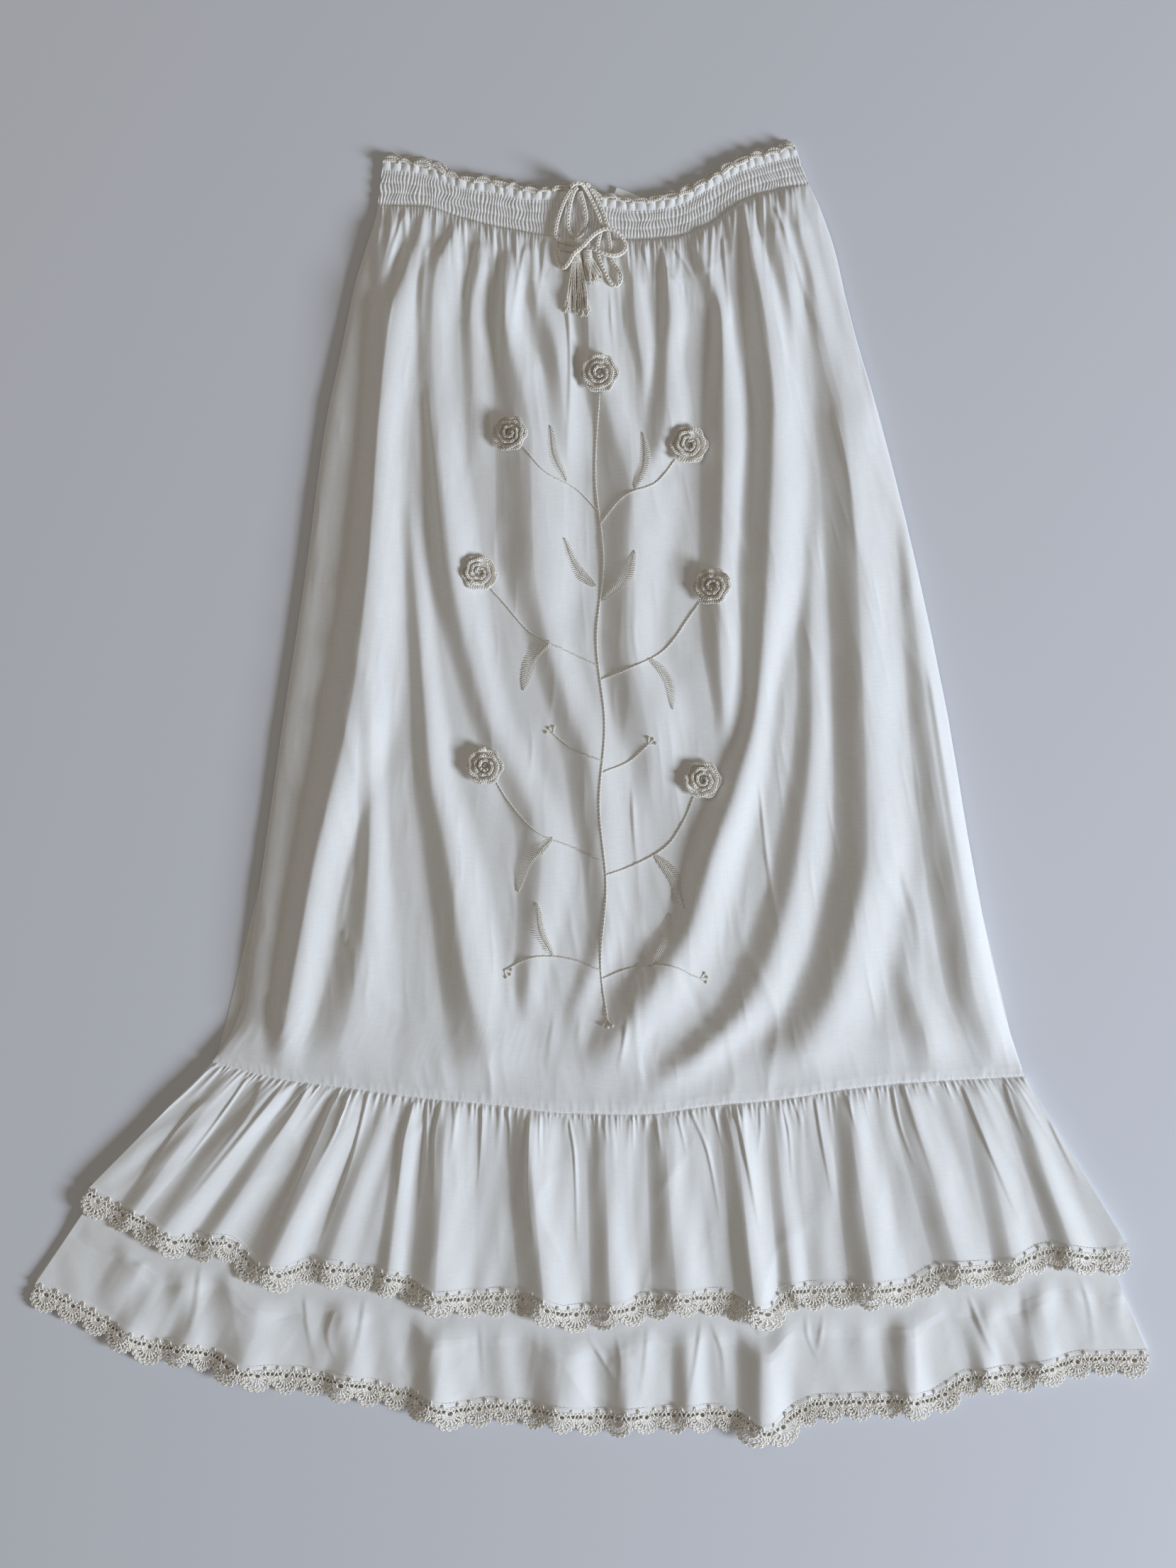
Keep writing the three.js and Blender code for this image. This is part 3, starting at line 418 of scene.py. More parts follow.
# Crocheted drawstring in a loose bow; the routes' points in metres on the plan
cordSet = {"diameter": 3.3 * mm, "repeat": 2.7 * mm, "thread": 0.66 * mm, "linkLong": 1.95, "linkHalf": 1.22, "back": -0.6}
cordRoutes = {
    "drawstring_left": [
        (-0.0030, 0.4452, 0.0112), (-0.0072, 0.4480, 0.0106), (-0.0118, 0.4474, 0.0096), (-0.0172, 0.4424, 0.0094), (-0.0215, 0.4358, 0.0082), (-0.0252, 0.4268, 0.0080), (-0.0278, 0.4169, 0.0080), (-0.0284, 0.4095, 0.0080),
        (-0.0242, 0.4058, 0.0085), (-0.0179, 0.4037, 0.0090), (-0.0110, 0.4022, 0.0099), (-0.0047, 0.4006, 0.0124),
        (0.0011, 0.3974, 0.0146), (0.0068, 0.3948, 0.0150), (0.0137, 0.3932, 0.0142), (0.0205, 0.3959, 0.0115),
        (0.0236, 0.4011, 0.0098), (0.0215, 0.4069, 0.0100), (0.0158, 0.4121, 0.0116), (0.0084, 0.4137, 0.0120),
        (0.0016, 0.4106, 0.0120), (-0.0042, 0.4048, 0.0140), (-0.0095, 0.3985, 0.0154), (-0.0147, 0.3938, 0.0174),
        (-0.0186, 0.3878, 0.0156), (-0.0224, 0.3846, 0.0134), (-0.0257, 0.3885, 0.0118), (-0.0273, 0.3953, 0.0108),
        (-0.0252, 0.4001, 0.0098), (-0.0199, 0.3990, 0.0102), (-0.0142, 0.3979, 0.0114),
    ],
    "drawstring_right": [
        (-0.0176, 0.4440, 0.0132), (-0.0136, 0.4466, 0.0142), (-0.0090, 0.4462, 0.0134), (-0.0054, 0.4422, 0.0102), (-0.0026, 0.4379, 0.0082), (0.0005, 0.4310, 0.0081), (0.0037, 0.4237, 0.0081), (0.0053, 0.4169, 0.0080),
        (0.0042, 0.4095, 0.0081), (0.0026, 0.4032, 0.0094), (0.0026, 0.3969, 0.0110), (0.0042, 0.3901, 0.0128),
        (0.0068, 0.3833, 0.0140), (0.0105, 0.3764, 0.0143), (0.0147, 0.3712, 0.0138), (0.0184, 0.3728, 0.0140),
        (0.0199, 0.3780, 0.0140), (0.0179, 0.3833, 0.0126), (0.0142, 0.3885, 0.0112), (0.0121, 0.3959, 0.0100),
        (0.0116, 0.4043, 0.0086), (0.0105, 0.4127, 0.0080), (0.0089, 0.4211, 0.0080), (0.0058, 0.4295, 0.0080),
        (0.0021, 0.4368, 0.0086), (-0.0022, 0.4436, 0.0094),
    ],
    "drawstring_middle": [
        (-0.0124, 0.4448, 0.0110), (-0.0150, 0.4414, 0.0094), (-0.0172, 0.4347, 0.0082), (-0.0188, 0.4268, 0.0080), (-0.0192, 0.4190, 0.0080), (-0.0179, 0.4127, 0.0080),
        (-0.0137, 0.4085, 0.0083), (-0.0095, 0.4111, 0.0080), (-0.0068, 0.4174, 0.0080), (-0.0058, 0.4242, 0.0080),
        (-0.0074, 0.4337, 0.0084), (-0.0100, 0.4420, 0.0094),
    ],
}


# A smooth curve through the points, with each span's pace set by the square root of its length
def smoothRoute(points, perSpan=10):
    points = np.asarray(points, float)
    spread = np.vstack([2 * points[0] - points[1], points, 2 * points[-1] - points[-2]])
    route = []
    for a, b, c, d in zip(spread[:-3], spread[1:-2], spread[2:-1], spread[3:]):
        before, here, after = (np.linalg.norm(q - p) ** 0.5 for p, q in ((a, b), (b, c), (c, d)))
        leave = ((b - a) / before - (c - a) / (before + here) + (c - b) / here) * here
        arrive = ((c - b) / here - (d - b) / (here + after) + (d - c) / after) * here
        t = np.arange(perSpan)[:, None] / perSpan
        route.append(b + leave * t + (3 * (c - b) - 2 * leave - arrive) * t**2 + (2 * (b - c) + leave + arrive) * t**3)
    return np.vstack(route + [points[-1:]])


# One stitch of the cord: a link that opens forwards over the next, with its back loop and a core thread
def cordUnit():
    long = cordSet["linkLong"]
    half = cordSet["linkHalf"]
    back = cordSet["back"]
    repeat = cordSet["repeat"] / mm
    angles = 2 * np.pi * np.arange(9) / 9
    front = np.column_stack([1.4 + long * np.cos(angles), half * np.sin(angles) * (0.62 + 0.5 * np.cos(angles)),
                             0.5 + 0.42 * np.cos(angles)])
    behind = np.column_stack([1.4 + long * np.cos(angles), 0.75 * half * np.sin(angles), back + 0.2 * np.cos(angles)])
    bump_ = np.array([(0.2, -0.3, -0.1), (repeat / 2, 0.3, 0.15), (repeat - 0.2, -0.3, -0.1)])
    return threadMesh("cord_repeat", [run * mm for run in (front, behind, bump_)], cordSet["thread"], cordCotton, 1, (0, 1))


cordLines = {}
cords = {}
cordRepeat = cordUnit()
for cordName, points in cordRoutes.items():
    route = smoothRoute(points) + outlineShift * mm
    cordLines[cordName] = route
    cords[cordName] = repeatAlong(cordName + "_braid", cordRepeat, [(route, flatSideways(route))],
                                  cordSet["repeat"], cordCotton)
print("cords made")


# Sizes that the cloth pieces share, in millimetres, with the heights of their undersides
clothThick = 1.4
seamGap = 0.3
layer = clothThick + seamGap
backLow = 0.0
frontLow = layer
underLow = 2 * layer
overLow = 3 * layer
frillHeight = 7.5
backRise = 2
backInset = 1.5
waistLoft = 1.7
waistHalf = 160

# Outline of the body, columns: y, x
bodyLeft = smoothLine([
    (434, -160), (428, -161), (402, -169), (376, -177), (323, -188), (271, -199), (166, -213),
    (61, -229), (-44, -244), (-123, -255), (-165, -261), (-188, -274), (-200, -282),
])
bodyRight = smoothLine([
    (450, 159), (428, 169), (402, 178), (350, 190), (271, 213), (166, 239),
    (61, 261), (-44, 279), (-149, 300), (-211, 318),
])
bandLeft = smoothLine([(434, -160), (467, -156)])
bandRight = smoothLine([(450, 159), (477, 149)])

# Lines across the skirt, columns: x, y
bandBottom = smoothLine([
    (-160, 434), (-125, 433), (-99, 425), (-72, 418), (-20, 410), (33, 408),
    (59, 410), (85, 419), (111, 437), (138, 446), (159, 450),
])
frillTop = smoothLine([
    (-156, 467), (-125, 463), (-99, 453), (-72, 449), (-46, 444), (-10, 445),
    (8, 439), (33, 436), (59, 439), (85, 452), (111, 466), (149, 477),
])
seamLine = smoothLine([
    (-281, -200), (-256, -207), (-230, -213), (-177, -220), (-125, -227), (-72, -232), (-20, -238),
    (33, -239), (85, -233), (138, -228), (190, -220), (243, -215), (318, -211),
])
overHem = smoothLine([
    (-373, -293), (-361, -301), (-335, -313), (-309, -328), (-272, -330), (-246, -349), (-230, -352),
    (-209, -347), (-177, -351), (-135, -360), (-114, -371), (-51, -370), (-20, -382), (22, -379),
    (40, -373), (96, -370), (127, -381), (146, -366), (232, -363), (258, -350), (295, -349),
    (342, -336), (374, -341), (395, -338),
])
underHem = smoothLine([
    (-414, -365), (-387, -376), (-361, -390), (-335, -405), (-282, -414), (-256, -427), (-230, -428),
    (-177, -436), (-135, -444), (-107, -455), (-72, -452), (6, -460), (85, -457), (106, -459),
    (127, -470), (146, -459), (164, -450), (248, -447), (275, -432), (321, -427), (369, -417), (411, -417),
])
# How far along the hem a gather that starts along the seam ends: seam share, hem share
gatherFan = smoothLine([
    (0, 0), (0.08, 0.05), (0.16, 0.163), (0.25, 0.29), (0.39, 0.42),
    (0.54, 0.55), (0.7, 0.685), (0.83, 0.8), (0.9, 0.89), (1, 1),
])


def waistLow(x):
    return frontLow + waistLoft * np.sqrt(share(1 - (x / waistHalf) ** 2))


# Small gathers that leave a seam: each has its own place, width, height, lean and reach
def gathers(position, distance, span, count, half, rise, reach, seed):
    draw = np.random.default_rng(seed)
    total = 0.0
    for number in range(count):
        centre = mix(*span, (number + draw.uniform(0.15, 0.85)) / count)
        lean = draw.uniform(-0.08, 0.08)
        own = rise * draw.uniform(0.35, 1.15)
        wide = half * draw.uniform(0.6, 1.4)
        far = reach * draw.uniform(0.35, 1.6)
        fade = share(1 - distance / far) ** 1.4
        total = total + own * fade * bump(position - centre - lean * distance, wide * (1 + 0.6 * distance / far))
    return total


# Pressed-in creases: crisp crests where crossing waves change sign, flat between
def creased(x, y, sizeX, sizeY, seed):
    wave = unevenness(x + 0.25 * y, y - 0.15 * x, sizeX, sizeY, seed)
    other = unevenness(x, y, 1.7 * sizeX, 1.3 * sizeY, seed + 1)
    return (1 - share(np.abs(wave) * 1.3)) ** 2.2 * share(0.35 + 0.65 * other)


# Where the cloth lay crumpled: the middle of the front, low down
def lowCentre(x, y):
    return share(1.1 - np.hypot((x - 10) / 130, (y + 110) / 150))


# Creases given one by one, columns: x and y of each end, half width, rise (below 0 a trough)
def creaseHeight(x, y, rows):
    total = 0.0
    for x0, y0, x1, y1, half, rise in rows:
        length = math.hypot(x1 - x0, y1 - y0)
        along = ((x - x0) * (x1 - x0) + (y - y0) * (y1 - y0)) / length**2
        off = ((x - x0) * (y1 - y0) - (y - y0) * (x1 - x0)) / length
        sway = 0.06 * length * np.sin(np.pi * share(along)) * math.sin(x0 + y1)
        total = total + rise * bump(off - sway, half) * np.sin(np.pi * share(along)) ** 0.7
    return total


# A large fold: a steep flank on its left with a crisp foot and crest, a gentle flank on its right
def foldProfile(off, half):
    steep = share(1 + off / (0.72 * half))
    return np.where(off < 0, mix(bump(1 - steep, 1), steep, 0.55), bump(off, 1.15 * half))


# A crease falls off steeply to the left and gently to the right, and dies out at its end
def lappedCreases(x, y, rows):
    total = 0.0
    for x0, y0, x1, y1, x2, y2, half, wide, rise in rows:
        line = smoothLine([(-y0, x0), (-y1, x1), (-y2, x2)])
        off = (x - line(-y)) / math.hypot(1, (x2 - x0) / (y2 - y0))
        along = (y0 - y) / (y0 - y2)
        half = half * (1.0 + 0.8 * share(along))
        profile = np.where(off < 0, bump(share(-off / half), 1), share(1 - off / (half * wide)) ** 1.8)
        shown = share(along * 12) * share((1.0 - along) * 1.6)
        total = total + 0.75 * rise * profile * shown
    return total


# Waistband: fine pleats drawn up on four rows of elastic, each pleat wandering a little.
# The panel below carries the pleats on until they open out.
bandSet = {
    "pleats": 135, "perPleat": 4, "rows": 30, "lowRows": 5, "depth": 1.3, "wander": 0.5, "ridge": 0.62,
    "elasticRows": (0.05, 0.34, 0.64, 0.93), "elasticHalf": 0.08, "elasticPinch": 0.4, "cut": (440, 27),
    "tuckIn": 1.0, "tuckDown": 0.35,
}


def bandRelief(u, v):
    count = bandSet["pleats"]
    phase = count * u + bandSet["wander"] * unevenness(count * u, 11 * v, 9, 5, 3)
    pleat = (0.5 - 0.5 * np.cos(2 * np.pi * phase)) ** bandSet["ridge"]
    pleat = pleat * (0.8 + 0.2 * unevenness(count * u, 6 * v, 5, 7, 8))
    pinch = sum(bump(v - row, bandSet["elasticHalf"]) for row in bandSet["elasticRows"])
    return bandSet["depth"] * pleat * (1 - bandSet["elasticPinch"] * pinch)


# Folds of the front panel, each a ridge; columns: y, crest x, half width, rise
bodyFolds = [
    [(428, -145, 8, 3), (397, -153, 10, 4), (360, -158, 9, 2)],
    [(428, -125, 8, 4), (397, -133, 14, 6), (350, -149, 24, 10), (271, -158, 20, 9),
     (166, -165, 25, 11), (61, -178, 34, 12), (-44, -203, 24, 10), (-149, -223, 22, 8), (-191, -230, 18, 5)],
    [(50, -163, 12, 2), (-44, -165, 14, 5), (-97, -168, 23, 7), (-149, -177, 32, 6), (-191, -187, 40, 3)],
    [(418, -100, 7, 4), (376, -117, 18, 6), (323, -119, 15, 3), (271, -115, 17, 4),
     (166, -105, 23, 8), (61, -81, 19, 5), (-44, -39, 25, 5), (-149, -49, 13, 3)],
    [(192, -135, 11, 2), (113, -128, 12, 4), (8, -119, 19, 7), (-44, -108, 24, 8), (-149, -91, 30, 9),
     (-191, -81, 38, 6)],
    [(423, -89, 6, 3), (397, -83, 8, 4), (350, -90, 12, 3), (260, -87, 11, 1)],
    [(418, -77, 6, 3), (397, -61, 14, 5), (350, -65, 12, 7), (271, -48, 35, 8),
     (166, -44, 37, 9), (113, -35, 20, 5), (8, -1, 27, 6), (-97, 8, 18, 4), (-160, -14, 13, 2)],
    [(407, -50, 8, 2), (376, -46, 10, 3), (323, -28, 17, 6), (260, -20, 16, 3)],
    [(407, -4, 10, 3), (376, -4, 17, 5), (323, 2, 18, 4), (271, 13, 19, 5), (218, 26, 36, 8),
     (113, 24, 26, 6), (61, 36, 33, 7), (19, 43, 21, 3)],
    [(413, 19, 6, 2), (376, 28, 8, 3), (350, 30, 13, 4), (313, 36, 8, 2)],
    [(413, 49, 6, 2), (350, 56, 13, 6), (323, 54, 12, 4), (271, 52, 20, 5), (235, 42, 16, 1)],
    [(428, 83, 6, 4), (397, 79, 13, 5), (350, 93, 11, 7), (271, 95, 22, 9), (166, 93, 22, 7),
     (113, 92, 18, 6), (58, 95, 10, 2)],
    [(434, 109, 6, 4), (397, 116, 11, 7), (323, 128, 22, 10), (271, 131, 25, 11),
     (166, 127, 29, 12), (61, 119, 14, 6), (8, 105, 22, 9), (-44, 87, 25, 11),
     (-97, 72, 27, 9), (-149, 41, 37, 9), (-191, 12, 32, 5)],
    [(439, 125, 9, 4), (397, 137, 15, 6), (350, 145, 10, 3), (313, 149, 9, 1)],
    [(176, 160, 8, 1), (113, 159, 14, 3), (61, 160, 15, 4), (-44, 150, 23, 6),
     (-149, 117, 29, 8), (-191, 79, 28, 7), (-217, 48, 28, 3)],
    [(439, 143, 10, 4), (397, 156, 10, 3), (323, 172, 16, 3), (271, 184, 30, 7),
     (113, 195, 30, 9), (-44, 200, 33, 10), (-97, 190, 34, 11), (-149, 175, 37, 10), (-191, 153, 45, 7)],
    [(176, 231, 10, 2), (61, 244, 18, 4), (-97, 270, 28, 8), (-149, 279, 27, 7), (-191, 293, 22, 4)],
    [(-139, 229, 16, 3), (-191, 246, 24, 5), (-217, 254, 24, 4)],
]
bodyFoldLines = [(smoothLine(rows), rows[0][0], rows[-1][0]) for rows in bodyFolds]

panelSet = {
    "columns": 510, "topRows": 24, "midRows": 88, "seamRows": 8, "skip": 5, "loft": 4, "loftReach": 60,
    "sideRound": 12, "sideRise": 4,
    "seamBlend": 34, "foldFade": 26, "pinches": 62, "pinchHalf": 2.5, "pinchRise": 1.6, "pinchReach": 40,
    "gathers": 26, "gatherHalf": 3.4, "gatherRise": 1.6, "gatherReach": 80, "calmRise": 0.5, "calmReach": 80,
    "pleatReach": 9, "pleatReachMore": 16, "puckers": 130, "puckerHalf": 1.9, "puckerRise": 0.5, "puckerReach": 10,
    "softRise": 0.3, "creaseRise": 1.1, "seamDip": 0.7, "seamBulk": 0.5, "cut": (620, 660),
}
# Crisp creases of the front panel; columns: x and y of start, middle and end, half width on the
# left, how many times wider to the right, rise
bodyCreases = [
    (-122, 405, -126, 350, -123, 285, 5.0, 2.5, 2.6), (-123, 300, -113, 205, -103, 110, 4.0, 3.0, 2.4),
    (-64, 398, -68, 335, -55, 255, 4.5, 3.0, 2.8), (-84, 405, -90, 372, -91, 330, 4.0, 3.0, 2.2),
    (-50, 404, -56, 368, -62, 322, 3.0, 2.5, 2.0), (-36, 408, -38, 380, -44, 350, 2.5, 2.5, 1.6),
    (-20, 372, -17, 310, -20, 235, 2.2, 2.0, 2.0), (-5, 362, -4, 325, -2, 290, 1.8, 2.0, 1.4),
    (-158, 424, -160, 372, -157, 300, 5.0, 2.0, 2.2), (-140, 428, -148, 398, -153, 376, 2.5, 3.0, 2.0),
    (12, 364, 13, 345, 16, 325, 1.8, 2.5, 1.4), (50, 404, 54, 375, 51, 338, 2.0, 2.0, 1.8),
    (36, 404, 40, 385, 42, 368, 1.8, 2.0, 1.4), (58, 402, 68, 388, 76, 372, 2.0, 2.0, 1.6),
    (52, 386, 68, 368, 88, 344, 2.0, 2.5, 1.5), (72, 408, 74, 400, 82, 390, 2.0, 2.0, 1.5),
    (95, 410, 97, 385, 100, 350, 2.0, 2.5, 1.6), (112, 404, 121, 345, 130, 285, 4.0, 2.0, 2.2),
    (134, 432, 143, 404, 150, 372, 3.0, 2.0, 2.0), (146, 396, 156, 368, 173, 326, 2.5, 2.0, 1.8),
    (176, 282, 188, 225, 196, 150, 3.0, 3.0, 1.7), (186, 368, 203, 305, 216, 240, 3.0, 2.0, 1.7),
    (52, 262, 38, 232, 22, 196, 4.0, 2.0, 1.3), (122, 2, 127, -45, 137, -112, 1.8, 2.0, 1.4),
    (226, -58, 238, -95, 243, -150, 5.0, 2.5, 1.8), (246, 96, 262, -10, 284, -140, 4.0, 2.0, 1.7),
    (28, 0, 30, -35, 35, -72, 2.0, 2.0, 1.4), (40, -128, 30, -145, 26, -170, 2.0, 2.5, 1.5),
    (24, -168, 22, -185, 15, -214, 1.8, 2.0, 1.4), (-184, -104, -176, -118, -166, -136, 2.5, 2.0, 1.5),
    (-232, -150, -230, -172, -216, -196, 3.0, 2.0, 1.8), (-176, -52, -184, -100, -178, -150, 6.0, 2.5, 1.9),
    (-38, -112, -30, -126, -22, -148, 3.0, 2.0, 1.0), (-100, -170, -97, -190, -93, -212, 5.0, 1.5, 0.8),
    (-30, -168, -32, -190, -34, -214, 3.0, 2.0, 0.9), (-12, -170, -10, -190, -4, -214, 2.5, 2.0, 0.9),
]
panelCreases = [
    (-20, -150, 40, -215, 5, 0.7), (18, -176, 62, -190, 4, -0.6), (30, -150, 36, -222, 4, 0.6),
    (-70, -180, 0, -205, 5, 0.6), (60, -120, 100, -190, 6, -0.7), (-190, -120, -120, -190, 6, 0.8),
]


def bodyPoint(u, v, inset=0.0):
    x = np.zeros_like(u)
    for step in range(6):
        y = mix(bandBottom(x), seamLine(x), v)
        x = mix(bodyLeft(y) + inset, bodyRight(y) - inset, u)
    return x, y


def bodyFoldHeight(x, y):
    fade = panelSet["foldFade"]
    total = 0.0
    for line, top, end in bodyFoldLines:
        shown = share((top + fade - y) / fade) * share((y - end + fade) / fade)
        total = total + shown * line(y, 2) * foldProfile(x - line(y, 0), line(y, 1))
    return total * mix(panelSet["calmRise"], 1, share((bandBottom(x) - y) / panelSet["calmReach"]))


def panelLow(x, y):
    side = np.minimum(x - bodyLeft(y), bodyRight(y) - x)
    roundness = np.sqrt(share(1 - (1 - share(side / panelSet["sideRound"])) ** 2))
    loft = panelSet["loft"] * share(side / panelSet["loftReach"])
    full = frontLow + panelSet["sideRise"] * roundness + (loft + bodyFoldHeight(x, y)) * roundness
    atSeam = share((y - seamLine(x)) / panelSet["seamBlend"]) ** 0.8
    atBand = np.sqrt(share((bandBottom(x) - y) / panelSet["seamBlend"]))
    return mix(overLow, mix(waistLow(x), full, atBand), atSeam)


def panelTop(x, y):
    fromBand = bandBottom(x) - y
    fromSeam = y - seamLine(x)
    inside = share(fromBand / 12) * share(fromSeam / 12)
    atBand = bandBottom(x)
    across = (x - bandLeft(atBand)) / (bandRight(atBand) - bandLeft(atBand))
    pinch = gathers(x, fromBand, (-158, 158), panelSet["pinches"], panelSet["pinchHalf"],
                    panelSet["pinchRise"], panelSet["pinchReach"], 11) * share(fromBand / 6)
    pinch = pinch + gathers(x, fromBand, (-158, 158), panelSet["gathers"], panelSet["gatherHalf"],
                            panelSet["gatherRise"], panelSet["gatherReach"], 14) * share(fromBand / 14)
    reach = panelSet["pleatReach"] + panelSet["pleatReachMore"] * share(0.5 + unevenness(60 * across, 0 * x, 3, 3, 13))
    released = share(1 - fromBand / reach) ** 1.5
    pleat = (bandRelief(across, 1 + 0.01 * fromBand) - 0.2) * released
    pucker = gathers(x, fromSeam, (-281, 318), panelSet["puckers"], panelSet["puckerHalf"],
                     panelSet["puckerRise"], panelSet["puckerReach"], 12) * share(fromSeam / 2.5)
    soft = panelSet["softRise"] * unevenness(x, y, 34, 90, 5)
    crumple = panelSet["creaseRise"] * (creased(x, y, 70, 190, 51) + 0.45 * creased(x, y, 26, 62, 57)
                                        + 0.6 * creased(x, y, 34, 70, 52) * lowCentre(x, y))
    bulk = panelSet["seamBulk"] * share(3 - fromSeam / 4) * share(fromSeam / 1.2)
    dip = panelSet["seamDip"] * share(1 - fromSeam / 1.2)
    surface = pinch + pleat + pucker + bulk - dip + lappedCreases(x, y, bodyCreases) + (soft + crumple + creaseHeight(x, y, panelCreases)) * inside
    return panelLow(x, y) + clothThick + surface


# Bands of rows with their own spacing, from 0 to 1
def spacedRows(*bands):
    rows = [np.linspace(start, end, count + 1)[:-1] for start, end, count in bands]
    return np.append(np.concatenate(rows), 1.0)


v = spacedRows((0, 0.06, panelSet["topRows"]), (0.06, 0.985, panelSet["midRows"]), (0.985, 1, panelSet["seamRows"]))
u, v = np.meshgrid(np.linspace(0, 1, panelSet["columns"] + 1), v)
x, y = bodyPoint(u, v)
skip = panelSet["skip"]
frontPanel = clothShell("front_panel_cloth", np.dstack([x, y, panelTop(x, y)]),
                        np.dstack([x, y, panelLow(x, y)])[::skip], panelSet["cut"])
u, v = np.meshgrid(np.linspace(0, 1, 81), np.linspace(0, 1, 41))
x, y = bodyPoint(u, v, backInset)
flat = np.zeros_like(x)
backPanel = clothShell("back_panel_cloth", np.dstack([x, y, flat + clothThick]), np.dstack([x, y, flat])[::10],
                       panelSet["cut"])
print("body panels made")


def bandTop(x):
    return frillTop(x) - frillHeight


def bandPoint(u, v, bottom, top, inset=0.0):
    x = np.zeros_like(u)
    for step in range(6):
        y = mix(top(x), bottom(x), v)
        x = mix(bandLeft(y) + inset, bandRight(y) - inset, u)
    return x, y


def grid(columns, rows):
    return np.meshgrid(np.linspace(0, 1, columns + 1), np.linspace(0, 1, rows + 1))


u, v = grid(bandSet["pleats"] * bandSet["perPleat"], bandSet["rows"])
x, y = bandPoint(u, v, bandBottom, bandTop)
under = np.zeros_like(v)
under[-1] = 1  # the last row tucks in under the panel
y = y - under * bandSet["tuckIn"]
low = waistLow(x)
frontBand = clothShell("front_waistband_cloth",
                       np.dstack([x, y, low + clothThick - 0.2 + bandRelief(u, v) - under * bandSet["tuckDown"]]),
                       np.dstack([x, y, low])[::bandSet["rows"] // bandSet["lowRows"]], bandSet["cut"])
x, y = bandPoint(u, v, bandBottom, bandTop, backInset)
backBand = clothShell("back_waistband_cloth", np.dstack([x, y, 0 * x + clothThick])[::5, ::5],
                      np.dstack([x, y, 0 * x])[::15, ::5], bandSet["cut"])

# Frilled heading: each rounded tab holds three of the band's pleats, with narrow folds between the tabs
frillSet = {"rows": 10, "lowRows": 2, "pleatsPerTab": 3, "tabDepth": 2.5, "tabRound": 0.7, "foot": 0.45, "wave": 0.9, "cut": (400, 10)}


def frillPoint(u, v, lift, inset=0.0):
    return bandPoint(u, v, bandTop, lambda s: frillTop(s) + lift, inset)


def frillRelief(u, v):
    tabs = bandSet["pleats"] / frillSet["pleatsPerTab"]
    phase = tabs * u + 0.16 * unevenness(tabs * u, 0 * u, 4, 4, 15) + 0.05 * unevenness(tabs * u, 3 * v, 5, 4, 16)
    tab = np.abs(np.sin(np.pi * phase)) ** frillSet["tabRound"]
    size = 0.8 + 0.25 * unevenness(tabs * u, 0 * u, 3, 3, 18)
    return frillSet["tabDepth"] * tab * size * np.sqrt(share(1.25 * (1 - v) + 0.05)) * (0.6 + 0.4 * np.sin(np.pi * share(v)))


def frillLow(u, v, x):
    return waistLow(x) + frillSet["foot"] * (1 - v)


u, v = grid(bandSet["pleats"] * bandSet["perPleat"], frillSet["rows"])
x, y = frillPoint(u, v, 0)
y = y + frillSet["wave"] * (1 - v) ** 2 * unevenness(bandSet["pleats"] * u, 0 * u, 5, 5, 19)
y = y - (v > 0.999) * 0.8
low = frillLow(u, v, x)
relief = mix(frillRelief(u, v), bandRelief(u, 0 * v), share((v - 0.7) / 0.3) ** 2) - 0.9 * (v > 0.999)
frontFrill = clothShell("front_waist_frill_cloth", np.dstack([x, y, low + clothThick - 0.2 + relief]),
                        np.dstack([x, y, low])[::frillSet["rows"] // frillSet["lowRows"]], frillSet["cut"])
x, y = frillPoint(u, v, backRise, backInset)
ripple = 0.35 * unevenness(x, y, 9, 12, 4) * (1 - v)
backFrill = clothShell("back_waist_frill_cloth", np.dstack([x, y, clothThick - 0.4 + ripple])[:, ::5],
                       np.dstack([x, y, 0 * x])[::5, ::5], frillSet["cut"])
print("waist made")


# Flounces hang between the seam and their hems
seamStart = -281
seamEnd = 318
overStart = -373
overEnd = 395
underStart = -414
underEnd = 411
overSet = {
    "columns": 852, "fullness": 0.3, "fullnessFade": 0.6, "gathers": 54, "seamFoldShare": 0.25, "puckers": 150,
    "puckerHalf": 1.5, "puckerRise": 1.5, "puckerReach": 11, "tucks": 38, "tuckHalf": 2.4, "tuckRise": 1.1,
    "tuckReach": 36, "hemTurn": 3.2, "softRise": 0.6, "creaseRise": 0.8, "cut": (920, 145),
}

